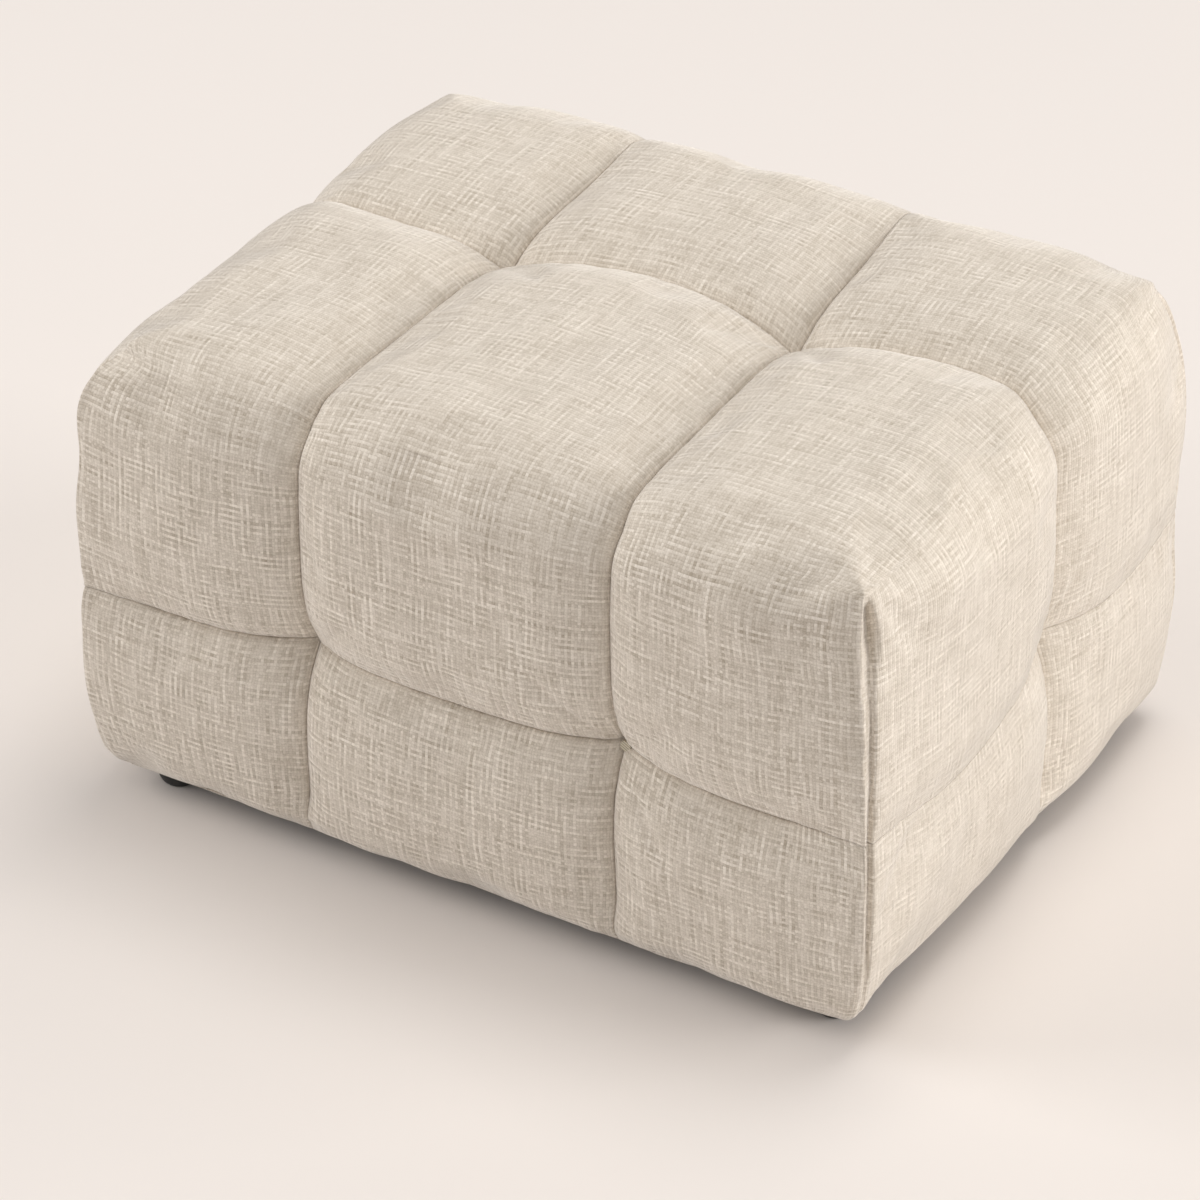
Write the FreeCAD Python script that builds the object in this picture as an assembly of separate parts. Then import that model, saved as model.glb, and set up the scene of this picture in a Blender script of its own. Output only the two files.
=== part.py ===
import FreeCAD, Part
import math
import os

# Tufted rectangular pouf, in millimetres.
# Origin: centre of the footprint on the floor. X runs along the long side,
# Y runs from the front (negative) to the back, Z points up.

V = FreeCAD.Vector

# Overall size
overall_length = 710.0
overall_depth = 545.0
overall_height = 420.0

# Seams between the stuffed cells
cross_seam_x = 131.0
long_seam_y = 42.0
upper_cell_height = 224.0

# Thickness of the stuffed cells over the foam
wall_pad_depth = 46.0
top_pad_depth = 52.0

# How far the cells draw in at their seams. Cross seams and upright seams are
# deepest at the tufts and rise by seam_rise from there to their far ends
level_seam_draw = 12.0
upright_seam_draw = 26.0
corner_seam_draw = 10.0
long_seam_drop = 24.0
cross_seam_drop = 28.0
seam_rise = 12.0

# Crown, rounded upper edge and turned-under lower edge of the cells
crown_share = 0.42
crown_lean = 8.0
crown_lift = 2.0
edge_radius = 60.0
lower_widest_share = 0.58
bottom_draw = 5.0
bottom_bevel = 18.0

# Feet
foot_height = 20.0
foot_radius = 20.0
foot_inset = 54.0
foot_recess_radius = 7.0
foot_recess_depth = 9.0

# Sheets under the frame
dust_sheet = 0.8
hem_sheet = 1.5
hem_inner_width = 40.0
hem_outer_width = 20.0
dust_overlap = 54.0

# Timber frame
plank_thickness = 18.0
plank_width = 92.0
post_side = 40.0
panel_thickness = 4.0
wall_foam = 24.0
seat_board_thickness = 12.0
seat_foam_thickness = 70.0
rail_over_ties = 40.0
rail_thickness = 20.0
stretcher_width = 40.0

# Ties that hold the tufts down, with a disc sewn into the seam and a toggle inside
cord_radius = 1.5
cord_clearance = 0.5
tie_disc_radius = 4.5
tie_disc_thickness = 2.0
tie_disc_cover = 5.0
toggle_radius = 9.0
toggle_thickness = 3.0

# Values that follow from the ones above
half_length = overall_length / 2.0
half_depth = overall_depth / 2.0
wall_seam_z = overall_height - upper_cell_height
core_x = half_length - wall_pad_depth
core_y = half_depth - wall_pad_depth
core_top = overall_height - top_pad_depth
hem_bottom = foot_height + dust_sheet
frame_bottom = hem_bottom + hem_sheet
plank_top = frame_bottom + plank_thickness
seat_board_top = core_top - seat_foam_thickness
seat_board_bottom = seat_board_top - seat_board_thickness
panel_x = core_x - wall_foam
panel_y = core_y - wall_foam
frame_x = panel_x - panel_thickness
frame_y = panel_y - panel_thickness
foot_x = half_length - foot_inset
foot_y = half_depth - foot_inset

SIDES = {
    "front": {"half": half_depth, "place": lambda s, u, z: V(s, -u, z)},
    "back": {"half": half_depth, "place": lambda s, u, z: V(s, u, z)},
    "left": {"half": half_length, "place": lambda s, u, z: V(-u, s, z)},
    "right": {"half": half_length, "place": lambda s, u, z: V(u, s, z)},
}

CORNER_SIGNS = {"left": -1, "right": 1, "front": -1, "back": 1}


def box(x0, x1, y0, y1, z0, z1):
    return Part.makeBox(x1 - x0, y1 - y0, z1 - z0, V(x0, y0, z0))


def on_circle(centre, radius, turn):
    # Point of a circle whose outward direction is turned up from level
    angle = math.radians(turn)
    return (centre[0] + radius * math.cos(angle), centre[1] + radius * math.sin(angle))


def fall_radius(run, drop):
    # Radius of an arc that starts level and falls by drop over run
    return (run * run + drop * drop) / (2.0 * drop)


def outline_face(arc_points, line_points, place, station):
    # Closed outline: a chain of three-point arcs, then straight lines back to its start
    points = [place(station, u, z) for u, z in arc_points]
    edges = []
    for i in range(0, len(points) - 1, 2):
        edges.append(Part.Arc(points[i], points[i + 1], points[i + 2]).toShape())
    corners = [points[-1]] + [place(station, u, z) for u, z in line_points] + [points[0]]
    for start, end in zip(corners[:-1], corners[1:]):
        edges.append(Part.makeLine(start, end))
    return Part.Face(Part.Wire(edges))


def upper_outline(side, station, seam_u, seam_drop, lift, low):
    # Upright section of an upper cell: crown, rounded edge, and wall down to low
    wall = SIDES[side]["half"]
    top = overall_height + lift
    crown_u = seam_u + crown_share * (wall - seam_u)
    inner_run = crown_u - seam_u
    inner_radius = fall_radius(inner_run, seam_drop + lift)
    inner_turn = math.degrees(math.asin(inner_run / inner_radius))
    inner_centre = (crown_u, top - inner_radius)
    lean = math.sin(math.radians(crown_lean))
    crown_radius = (wall - crown_u - edge_radius * (1.0 - lean)) / lean
    crown_centre = (crown_u, top - crown_radius)
    edge_start = on_circle(crown_centre, crown_radius, 90.0 - crown_lean)
    edge_centre = on_circle(edge_start, -edge_radius, 90.0 - crown_lean)
    wall_top = edge_centre[1]
    wall_run = wall_top - wall_seam_z
    wall_radius = fall_radius(wall_run, level_seam_draw)
    wall_turn = math.degrees(math.asin(wall_run / wall_radius))
    wall_centre = (wall - wall_radius, wall_top)
    arcs = [
        (seam_u, overall_height - seam_drop),
        on_circle(inner_centre, inner_radius, 90.0 + inner_turn / 2.0),
        (crown_u, top),
        on_circle(crown_centre, crown_radius, 90.0 - crown_lean / 2.0),
        edge_start,
        on_circle(edge_centre, edge_radius, (90.0 - crown_lean) / 2.0),
        (wall, wall_top),
        on_circle(wall_centre, wall_radius, -wall_turn / 2.0),
        (wall - level_seam_draw, wall_seam_z),
    ]
    skirt = [(wall - level_seam_draw, low)] if low < wall_seam_z else []
    return outline_face(arcs, skirt + [(seam_u, low)], SIDES[side]["place"], station)


def lower_outline(side, station):
    # Upright section of a lower cell: bulging wall and bevelled turn-under
    wall = SIDES[side]["half"]
    inner = wall - wall_pad_depth
    bevel_top = frame_bottom + bottom_bevel
    upper_run = lower_widest_share * (wall_seam_z - bevel_top)
    upper_radius = fall_radius(upper_run, level_seam_draw)
    upper_turn = math.degrees(math.asin(upper_run / upper_radius))
    widest_z = wall_seam_z - upper_run
    lower_run = widest_z - bevel_top
    lower_radius = fall_radius(lower_run, bottom_draw)
    lower_turn = math.degrees(math.asin(lower_run / lower_radius))
    arcs = [
        (wall - level_seam_draw, wall_seam_z),
        on_circle((wall - upper_radius, widest_z), upper_radius, upper_turn / 2.0),
        (wall, widest_z),
        on_circle((wall - lower_radius, widest_z), lower_radius, -lower_turn / 2.0),
        (wall - bottom_draw, bevel_top),
    ]
    under = (wall - bottom_draw - bottom_bevel, frame_bottom)
    lines = [under, (inner, frame_bottom), (inner, wall_seam_z)]
    return outline_face(arcs, lines, SIDES[side]["place"], station)


def lean_out(body, pivot, along, outward, run):
    # Turn a body about the deep end of a seam, to stand out by seam_rise at its far end
    turn = math.degrees(math.atan2(seam_rise, run))
    body.rotate(pivot, along.cross(outward), turn)
    return body


def bowed_block(first, middle, last, outward, along, run):
    # Block with one face bowed out over three points, run past both ends of a seam
    depth = outward * -overall_length
    edges = [
        Part.Arc(first, middle, last).toShape(),
        Part.makeLine(last, last + depth),
        Part.makeLine(last + depth, first + depth),
        Part.makeLine(first + depth, first),
    ]
    margin = run / 4.0
    block = Part.Face(Part.Wire(edges)).extrude(along * (run + 2.0 * margin))
    block.translate(along * -margin)
    return block


def wall_bow(side, first, last, draws, along, run):
    # Bows a wall out between its two upright seams, from the level seam up or down
    place = SIDES[side]["place"]
    half = SIDES[side]["half"]
    outward = place(0.0, 1.0, 0.0)
    points = [
        place(first, half - draws[0], wall_seam_z),
        place((first + last) / 2.0, half + crown_lift, wall_seam_z),
        place(last, half - draws[1], wall_seam_z),
    ]
    block = bowed_block(*points, outward, along, run)
    return lean_out(block, points[0], along, outward, run)


def top_bow(x0, x1, along, run):
    # Bows the top up between two cross seams, from the lengthwise seam to a wall
    low = overall_height - cross_seam_drop
    points = [
        V(x0, long_seam_y, low),
        V((x0 + x1) / 2.0, long_seam_y, overall_height + crown_lift),
        V(x1, long_seam_y, low),
    ]
    block = bowed_block(*points, V(0, 0, 1), along, run)
    return lean_out(block, points[0], along, V(0, 0, 1), run)


def end_run(column, along, run):
    # Upright section of an end cell, run from the lengthwise seam to a wall
    low = wall_seam_z - 2.0 * seam_rise
    face = upper_outline(column, long_seam_y, cross_seam_x, cross_seam_drop, crown_lift, low)
    margin = run / 4.0
    body = face.extrude(along * (run + 2.0 * margin))
    body.translate(along * -margin)
    pivot = V(0, long_seam_y, overall_height - cross_seam_drop)
    return lean_out(body, pivot, along, V(0, 0, 1), run)


def tuft_places():
    # Each sewn tuft: its deepest point, direction inwards, distance through the board
    places = []
    skin = overall_height - cross_seam_drop
    for sx in (-1, 1):
        at = V(sx * cross_seam_x, long_seam_y, skin)
        places.append((at, V(0, 0, -1), skin - seat_board_bottom))
    skin = half_depth - upright_seam_draw
    for sx in (-1, 1):
        for sy in (-1, 1):
            at = V(sx * cross_seam_x, sy * skin, wall_seam_z)
            places.append((at, V(0, -sy, 0), skin - frame_y))
    skin = half_length - upright_seam_draw
    for sx in (-1, 1):
        at = V(sx * skin, long_seam_y, wall_seam_z)
        places.append((at, V(-sx, 0, 0), skin - frame_x))
    return places


def square_bore(at, inward, half_side, start, end):
    # Square channel through the stuffing along a tie
    p = at + inward * start
    q = at + inward * end
    spread = V(half_side, half_side, half_side)
    side = V(spread.x * (1 - abs(inward.x)), spread.y * (1 - abs(inward.y)),
             spread.z * (1 - abs(inward.z)))
    low = V(min(p.x, q.x), min(p.y, q.y), min(p.z, q.z)) - side
    high = V(max(p.x, q.x), max(p.y, q.y), max(p.z, q.z)) + side
    return box(low.x, high.x, low.y, high.y, low.z, high.z)


def soft_bores():
    # Channels for the cords and pockets for their discs, in the stuffing
    bores = []
    for at, inward, run in tuft_places():
        channel = cord_radius + cord_clearance
        bores.append(square_bore(at, inward, channel, tie_disc_cover, run))
        pocket = tie_disc_radius + cord_clearance
        end = tie_disc_cover + tie_disc_thickness
        start = tie_disc_cover - cord_clearance
        bores.append(square_bore(at, inward, pocket, start, end + cord_clearance))
    return bores


def board_bores():
    # Round holes for the cords in the boards
    radius = cord_radius + cord_clearance
    return [Part.makeCylinder(radius, run, at, inward)
            for at, inward, run in tuft_places()]


def tie_solid(at, inward, run):
    start = at + inward * tie_disc_cover
    disc = Part.makeCylinder(tie_disc_radius, tie_disc_thickness, start, inward)
    cord = Part.makeCylinder(cord_radius, run - tie_disc_cover, start, inward)
    toggle = Part.makeCylinder(toggle_radius, toggle_thickness, at + inward * run, inward)
    return disc.fuse(cord).fuse(toggle).removeSplitter()


def cut_near(shape, tools):
    # Cut only the tools whose boxes meet the box of the shape
    for tool in tools:
        if tool.BoundBox.intersect(shape.BoundBox):
            shape = shape.cut(tool)
    return shape


def columns():
    return {
        "left": (-half_length, -cross_seam_x),
        "middle": (-cross_seam_x, cross_seam_x),
        "right": (cross_seam_x, half_length),
    }


def rows():
    return {"front": (-half_depth, long_seam_y), "back": (long_seam_y, half_depth)}


def seam_draws(name):
    # Draw at the two ends of a cell's wall, less where the end is a corner of the pouf
    if name in ("left", "front"):
        return (corner_seam_draw, upright_seam_draw)
    if name in ("right", "back"):
        return (upright_seam_draw, corner_seam_draw)
    return (upright_seam_draw, upright_seam_draw)


def upper_pad(row, column, x0, x1, y0, y1):
    # The long wall with its half of the top, bowed across, then closed by any end wall
    up = V(0, 0, 1)
    height = overall_height - wall_seam_z
    along = V(0, -1, 0) if row == "front" else V(0, 1, 0)
    seam_u = along.y * long_seam_y
    face = upper_outline(row, x0, seam_u, long_seam_drop, 0.0, wall_seam_z)
    body = face.extrude(V(x1 - x0, 0, 0))
    body = body.common(wall_bow(row, x0, x1, seam_draws(column), up, height))
    if column == "middle":
        return body.common(top_bow(x0, x1, along, y1 - y0))
    body = body.common(end_run(column, along, y1 - y0))
    return body.common(wall_bow(column, y0, y1, seam_draws(row), up, height))


def upper_pads(tools):
    core = box(-core_x, core_x, -core_y, core_y, frame_bottom, core_top)
    pads = {}
    for row, (y0, y1) in rows().items():
        for column, (x0, x1) in columns().items():
            body = upper_pad(row, column, x0, x1, y0, y1).cut(core)
            pads["pad_top_%s_%s" % (row, column)] = cut_near(body, tools)
    return pads


def mitre_wedge(sx, sy, along):
    # Prism on one side of the upright mitre plane at a corner
    corner = V(sx * half_length, sy * half_depth, 0)
    step = V(sx * wall_pad_depth, sy * wall_pad_depth, 0)
    outer = corner + step
    inner = corner - step * 2.0
    third = V(inner.x, outer.y, 0) if along == "x" else V(outer.x, inner.y, 0)
    face = Part.Face(Part.makePolygon([inner, outer, third, inner]))
    return face.extrude(V(0, 0, wall_seam_z))


def lower_pad(side, name, first, last, tools):
    # The wall below the level seam, bowed out, and mitred where it meets a corner
    place = SIDES[side]["place"]
    down = V(0, 0, -1)
    height = wall_seam_z - frame_bottom
    body = lower_outline(side, first).extrude(place(last - first, 0.0, 0.0))
    body = body.common(wall_bow(side, first, last, seam_draws(name), down, height))
    if name in CORNER_SIGNS:
        signs = (CORNER_SIGNS[name], CORNER_SIGNS[side])
        if side in ("left", "right"):
            signs = (signs[1], signs[0])
        body = body.cut(mitre_wedge(*signs, "y" if side in ("front", "back") else "x"))
    return cut_near(body, tools)


def lower_pads(tools):
    pads = {}
    for side in SIDES:
        spans = columns() if side in ("front", "back") else rows()
        for name, (first, last) in spans.items():
            pads["pad_low_%s_%s" % (side, name)] = lower_pad(side, name, first, last, tools)
    return pads


def foam_parts(tools):
    parts = {}
    z1 = seat_board_top
    parts["foam_front"] = box(-core_x, core_x, -core_y, -panel_y, plank_top, z1)
    parts["foam_back"] = box(-core_x, core_x, panel_y, core_y, plank_top, z1)
    parts["foam_left"] = box(-core_x, -panel_x, -panel_y, panel_y, plank_top, z1)
    parts["foam_right"] = box(panel_x, core_x, -panel_y, panel_y, plank_top, z1)
    parts["foam_seat"] = box(-core_x, core_x, -core_y, core_y, z1, core_top)
    return {name: cut_near(shape, tools) for name, shape in parts.items()}


def frame_parts(tools):
    parts = {}
    z0 = frame_bottom
    z1 = plank_top
    top = seat_board_bottom
    inner_y = core_y - plank_width
    inner_x = core_x - plank_width
    parts["base_plank_front"] = box(-core_x, core_x, -core_y, -inner_y, z0, z1)
    parts["base_plank_back"] = box(-core_x, core_x, inner_y, core_y, z0, z1)
    parts["base_plank_left"] = box(-core_x, -inner_x, -inner_y, inner_y, z0, z1)
    parts["base_plank_right"] = box(inner_x, core_x, -inner_y, inner_y, z0, z1)
    post_x = frame_x - post_side
    post_y = frame_y - post_side
    parts["post_front_left"] = box(-frame_x, -post_x, -frame_y, -post_y, z1, top)
    parts["post_front_right"] = box(post_x, frame_x, -frame_y, -post_y, z1, top)
    parts["post_back_left"] = box(-frame_x, -post_x, post_y, frame_y, z1, top)
    parts["post_back_right"] = box(post_x, frame_x, post_y, frame_y, z1, top)
    low = wall_seam_z + rail_over_ties
    rail_y = frame_y - rail_thickness
    rail_x = frame_x - rail_thickness
    parts["top_rail_front"] = box(-post_x, post_x, -frame_y, -rail_y, low, top)
    parts["top_rail_back"] = box(-post_x, post_x, rail_y, frame_y, low, top)
    parts["top_rail_left"] = box(-frame_x, -rail_x, -post_y, post_y, low, top)
    parts["top_rail_right"] = box(rail_x, frame_x, -post_y, post_y, low, top)
    half_stretcher = stretcher_width / 2.0
    parts["seat_stretcher"] = box(-half_stretcher, half_stretcher, -rail_y, rail_y, low, top)
    parts["seat_board"] = box(-panel_x, panel_x, -panel_y, panel_y, top, seat_board_top)
    parts["panel_front"] = box(-panel_x, panel_x, -panel_y, -frame_y, z1, top)
    parts["panel_back"] = box(-panel_x, panel_x, frame_y, panel_y, z1, top)
    parts["panel_left"] = box(-panel_x, -frame_x, -frame_y, frame_y, z1, top)
    parts["panel_right"] = box(frame_x, panel_x, -frame_y, frame_y, z1, top)
    return {name: cut_near(shape, tools) for name, shape in parts.items()}


def under_sheets():
    # Turned-under edge of the cover, with the dust sheet fixed below it
    parts = {}
    out_x = core_x + hem_outer_width
    out_y = core_y + hem_outer_width
    in_x = core_x - hem_inner_width
    in_y = core_y - hem_inner_width
    z0 = hem_bottom
    z1 = frame_bottom
    parts["hem_front"] = box(-out_x, out_x, -out_y, -in_y, z0, z1)
    parts["hem_back"] = box(-out_x, out_x, in_y, out_y, z0, z1)
    parts["hem_left"] = box(-out_x, -in_x, -in_y, in_y, z0, z1)
    parts["hem_right"] = box(in_x, out_x, -in_y, in_y, z0, z1)
    dust_x = in_x + dust_overlap
    dust_y = in_y + dust_overlap
    parts["dust_cover"] = box(-dust_x, dust_x, -dust_y, dust_y, foot_height, z0)
    return parts


def foot_solid(x, y):
    # Low round glide with a recess for its screw
    up = V(0, 0, 1)
    body = Part.makeCylinder(foot_radius, foot_height, V(x, y, 0), up)
    return body.cut(Part.makeCylinder(foot_recess_radius, foot_recess_depth, V(x, y, 0), up))


def feet():
    parts = {}
    for row, sy in (("front", -1), ("back", 1)):
        for column, sx in (("left", -1), ("right", 1)):
            parts["foot_%s_%s" % (row, column)] = foot_solid(sx * foot_x, sy * foot_y)
    return parts


def tuft_ties():
    ties = [tie_solid(at, inward, run) for at, inward, run in tuft_places()]
    return {"tuft_ties": Part.makeCompound(ties)}


def build():
    soft_tools = soft_bores()
    parts = {}
    parts.update(upper_pads(soft_tools))
    parts.update(lower_pads(soft_tools))
    parts.update(foam_parts(soft_tools))
    parts.update(frame_parts(board_bores()))
    parts.update(under_sheets())
    parts.update(feet())
    parts.update(tuft_ties())
    return parts


def main():
    os.makedirs("parts", exist_ok=True)
    for name, shape in build().items():
        shape.exportStep("parts/" + name + ".step")


main()
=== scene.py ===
"""Pouf with tufted cells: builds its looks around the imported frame."""

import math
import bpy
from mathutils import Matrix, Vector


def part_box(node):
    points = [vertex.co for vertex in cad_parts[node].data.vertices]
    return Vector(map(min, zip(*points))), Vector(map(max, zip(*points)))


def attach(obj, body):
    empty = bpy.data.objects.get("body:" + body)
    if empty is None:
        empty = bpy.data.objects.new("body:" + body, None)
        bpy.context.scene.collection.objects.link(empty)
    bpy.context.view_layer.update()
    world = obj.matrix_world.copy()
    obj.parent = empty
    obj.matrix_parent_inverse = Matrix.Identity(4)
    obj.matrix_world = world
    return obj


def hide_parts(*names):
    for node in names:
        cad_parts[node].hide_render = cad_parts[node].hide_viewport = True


bl_info = {
    "name": "Tufted pouf",
    "version": (1, 0, 0),
    "blender": (4, 5, 0),
    "location": "3D View > Sidebar > Pouf",
    "description": "Builds the cover, underside and feet of a tufted pouf around its packed frame",
    "category": "Add Mesh",
}

import bmesh
import bpy
import numpy as np
from bpy.props import FloatProperty
from bpy.props import FloatVectorProperty
from bpy.props import IntProperty
from bpy.props import PointerProperty
from mathutils import Matrix
from mathutils import Vector

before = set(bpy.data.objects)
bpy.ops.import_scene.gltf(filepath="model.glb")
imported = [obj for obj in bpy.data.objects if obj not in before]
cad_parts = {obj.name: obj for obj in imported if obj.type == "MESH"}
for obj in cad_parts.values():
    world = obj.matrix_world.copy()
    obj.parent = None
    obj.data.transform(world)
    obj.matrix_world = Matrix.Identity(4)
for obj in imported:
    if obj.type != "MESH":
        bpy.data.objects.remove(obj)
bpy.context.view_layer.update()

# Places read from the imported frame, in metres
half_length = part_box("pad_top_front_right")[1].x
half_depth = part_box("pad_top_back_right")[1].y
body_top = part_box("pad_top_front_middle")[1].z
body_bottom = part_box("pad_low_front_middle")[0].z
core_half_length = -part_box("foam_left")[0].x
core_half_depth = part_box("foam_back")[1].y
core_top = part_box("foam_seat")[1].z
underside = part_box("dust_cover")[0].z

# Each side's axis across its wall, and the way that the wall looks along it
SIDES = {"front": (1, -1), "back": (1, 1), "left": (0, -1), "right": (0, 1)}
COLUMNS = ("left", "middle", "right")

# Places of the row of tufts on the top, across the depth, and of the tufts in the walls, upwards
TUFT_ROW = 0.044
TUFT_LEVEL = 0.197

# Courses of the two cross seams, at the front wall, the row of tufts and the back wall, and their means
LEFT_COURSE = (-0.147, -0.143, -0.134)
RIGHT_COURSE = (0.127, 0.117, 0.110)
LEFT_SEAM = -0.141
RIGHT_SEAM = 0.127

# Half the gap between two cells
SEAM_GAP = 0.0003

# Places as near as this count as one, and the number of such steps in a metre
NEAR = 1e-6
STEPS_PER_METRE = 1e6

# How much closer together the points of a grid lie near a seam
FINER = 0.6


def length(name, description, default):
    """A size in metres that a user can change."""
    return FloatProperty(name=name, description=description, default=default, unit="LENGTH")


def power(name, description, default):
    """A light's power in watts that a user can change."""
    return FloatProperty(name=name, description=description, default=default, unit="POWER")


def number(name, description, default):
    """A plain number that a user can change."""
    return FloatProperty(name=name, description=description, default=default)


def colour(name, description, default):
    """A colour that a user can change."""
    return FloatVectorProperty(name=name, description=description, default=default, subtype="COLOR", size=3)


class CoverSizes(bpy.types.PropertyGroup):
    """Sizes of the padded cover."""

    level_seam: length(
        "Level seam height",
        "Height of the seam that runs round all four walls",
        TUFT_LEVEL,
    )
    lengthwise_seam: length(
        "Lengthwise seam",
        "Place across the depth of the seam between the two rows of cells",
        TUFT_ROW,
    )
    edge_radius: length("Upper edge radius", "How softly the top turns into the walls", 0.060)
    lower_radius: length("Lower edge radius", "How softly the walls turn in under the body", 0.016)
    cross_draw: length(
        "Cross seam draw",
        "How far the cross seams pull the cover in between two tufts",
        0.0055,
    )
    lengthwise_draw: length(
        "Lengthwise seam draw",
        "How far the lengthwise seam pulls the cover in between two tufts",
        0.0075,
    )
    level_draw: length(
        "Level seam draw",
        "How far the level seam pulls the cover in between two tufts",
        0.0095,
    )
    edge_draw: length(
        "Extra draw at the upper edge",
        "How much further a seam is pulled in where it turns over the upper edge",
        0.010,
    )
    tuft_draw: length(
        "Tuft draw",
        "How far a tuft pulls the cover in below the seams that meet there",
        0.0190,
    )
    tuft_reach: length("Tuft reach", "Distance from a tuft over which the cover is pulled in", 0.086)
    crease_depth: length("Crease depth", "Depth of the narrow fold along a seam", 0.0140)
    crease_width: length("Crease width", "Distance from a seam at which its fold begins", 0.038)
    mesh_step: length(
        "Mesh step",
        "Mean distance between the points of the cover before subdivision",
        0.005,
    )
    cloth_pressure: number("Cloth pressure", "Pressure of the padding under the cloth while it settles", 0.8)
    cloth_excess: number("Cloth excess", "Share by which the cloth is cut larger than the padding", 0.004)
    cloth_stiffness: number("Cloth stiffness", "Resistance of the cloth to bending", 0.5)
    cloth_cap: length("Cloth movement", "Furthest that a point of the cloth may settle", 0.003)
    wrinkle_seed: IntProperty(
        name="Wrinkle seed",
        description="Picks the places of the small folds round the tufts",
        default=4,
    )


class ClothColours(bpy.types.PropertyGroup):
    """Colours of the cloths, and the threads of the linen."""

    linen: colour("Linen", "Colour of the cover's cloth", (0.762, 0.689, 0.601))
    dust_cloth: colour("Dust cloth", "Colour of the cloth under the body", (0.035, 0.034, 0.033))
    thread_pitch: length("Thread pitch", "Distance between two threads of the linen", 0.0025)
    slub_length: length("Slub length", "Length over which a thread changes its shade", 0.055)


class StudioLight(bpy.types.PropertyGroup):
    """The floor and the light."""

    floor: colour("Floor", "Colour of the floor", (0.875, 0.835, 0.812))
    key_power: power("Key light", "Power of the large soft light at the right", 300.0)
    fill_power: power("Fill light", "Power of the large soft light at the left", 138.0)
    top_power: power("Overhead light", "Power of the large soft light over the pouf", 124.0)
    sky_strength: number("Room light", "Strength of the even light of the room", 0.45)


# Curves that the shapes are made of


def rounded_max(first, second, radius):
    """The larger of two distances, with a rounded change from one to the other."""
    both = np.hypot(np.maximum(first + radius, 0), np.maximum(second + radius, 0))
    return np.minimum(np.maximum(first + radius, second + radius), 0) + both - radius


def smooth_rise(value, start, end):
    """0 before start, 1 after end and a smooth rise between them."""
    share = np.clip((value - start) / (end - start), 0, 1)
    return share * share * (3 - 2 * share)


def between(value, start, end):
    """0 at both ends and 1 halfway, smoothly."""
    share = np.clip((value - start) / (end - start), 0, 1)
    return np.sin(math.pi * share) ** 2


def bell(distance, width):
    """1 at no distance and nearly 0 from twice the width on."""
    return np.exp(-((distance / width) ** 2))


def seam_share(distance, width):
    """Share of a seam's draw that is left at a distance from it."""
    return np.clip(1 - distance / width, 0, 1) ** 2.4


def crease(distance, width, depth):
    """Depth of the fold at a distance from a seam, as the round of a pillow's rim."""
    share = np.clip(1 - distance / width, 0, 1)
    return depth * (1 - np.sqrt(np.maximum(1 - share * share, 0)))


def soft_bumps(spots, seed, wave_length):
    """A gentle random unevenness with a root mean square near 1."""
    random = np.random.RandomState(seed)
    count = 14
    total = np.zeros(len(spots))
    for _ in range(count):
        direction = random.normal(size=3)
        direction = direction / np.linalg.norm(direction)
        wave = wave_length * random.uniform(0.7, 1.6)
        phase = random.uniform(0, 2 * math.pi)
        total += np.sin(2 * math.pi * (spots @ direction) / wave + phase)
    return total * math.sqrt(2 / count)


def graded(count):
    """Shares from 0 to 1 that lie closer together at both ends."""
    even = np.linspace(0, 1, count)
    return even - FINER * np.sin(2 * math.pi * even) / (2 * math.pi)


def half_graded(count):
    """Shares from 0 to 1 that lie closer together at the start."""
    even = np.linspace(0, 1, count)
    return even - FINER * np.sin(math.pi * even) / math.pi


# Body of the cover, without its seams


def edge_gaps(x, y):
    """Distances of spots from the end walls and from the long walls."""
    return half_length - np.abs(x), half_depth - np.abs(y)


def cover_distance(points, sizes):
    """Distance of points from the cover as it would be without seams, below 0 inside."""
    x, y, z = points.T
    sharp_corner = 0.005
    top_corner = 0.070
    low_corner = 0.009
    corner_radius = sharp_corner + top_corner * smooth_rise(z, 0.402, 0.423)
    corner_radius += low_corner * smooth_rise(-z, -0.09, -0.025)
    end_inset, side_inset = bottom_insets(x, y)
    lowness = np.clip((0.13 - z) / 0.108, 0, 1) ** 2
    beyond_end = np.abs(x) - half_length + end_inset * lowness
    beyond_side = np.abs(y) - half_depth + side_inset * lowness
    wall = rounded_max(beyond_end, beyond_side, corner_radius)
    edge_radius = sizes.edge_radius * (1 - 0.18 * smooth_rise(y, 0.10, 0.25))
    upper = rounded_max(wall, z - body_top - crown_height(x, y), edge_radius)
    roll_height = 0.0038
    roll_width = 0.026
    roll = roll_height * np.sin(math.pi * np.clip(-wall / roll_width, 0, 1)) ** 2
    lower = rounded_max(wall, body_bottom + 0.0008 - roll - z, sizes.lower_radius)
    return np.maximum(upper, lower)


def crown_height(x, y):
    """How far the top lies above the solids' top: less at the left and at the back corners."""
    back_lift = 0.0020
    left_drop = 0.0040
    corner_drop = 0.006
    from_corner = np.hypot(*edge_gaps(x, y))
    crown = back_lift * smooth_rise(y, 0.05, 0.22) - left_drop * smooth_rise(-x, 0.20, 0.34)
    return crown - corner_drop * bell(from_corner, 0.09) * (y > 0)


def bottom_insets(x, y):
    """How far the walls lean in at their lower edge: at the ends, and at the long sides."""
    right_places = [-half_depth, -0.20, -0.10, 0.05, half_depth]
    at_right = np.interp(y, right_places, [0.012, 0.018, 0.016, 0.011, 0.006])
    front_places = [-half_length, -0.25, -0.10, 0.15, half_length]
    at_front = np.interp(x, front_places, [0.015, 0.017, 0.012, 0.010, 0.008])
    at_left = 0.002
    at_back = 0.010
    return np.where(x > 0, at_right, at_left), np.where(y < 0, at_front, at_back)


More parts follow.
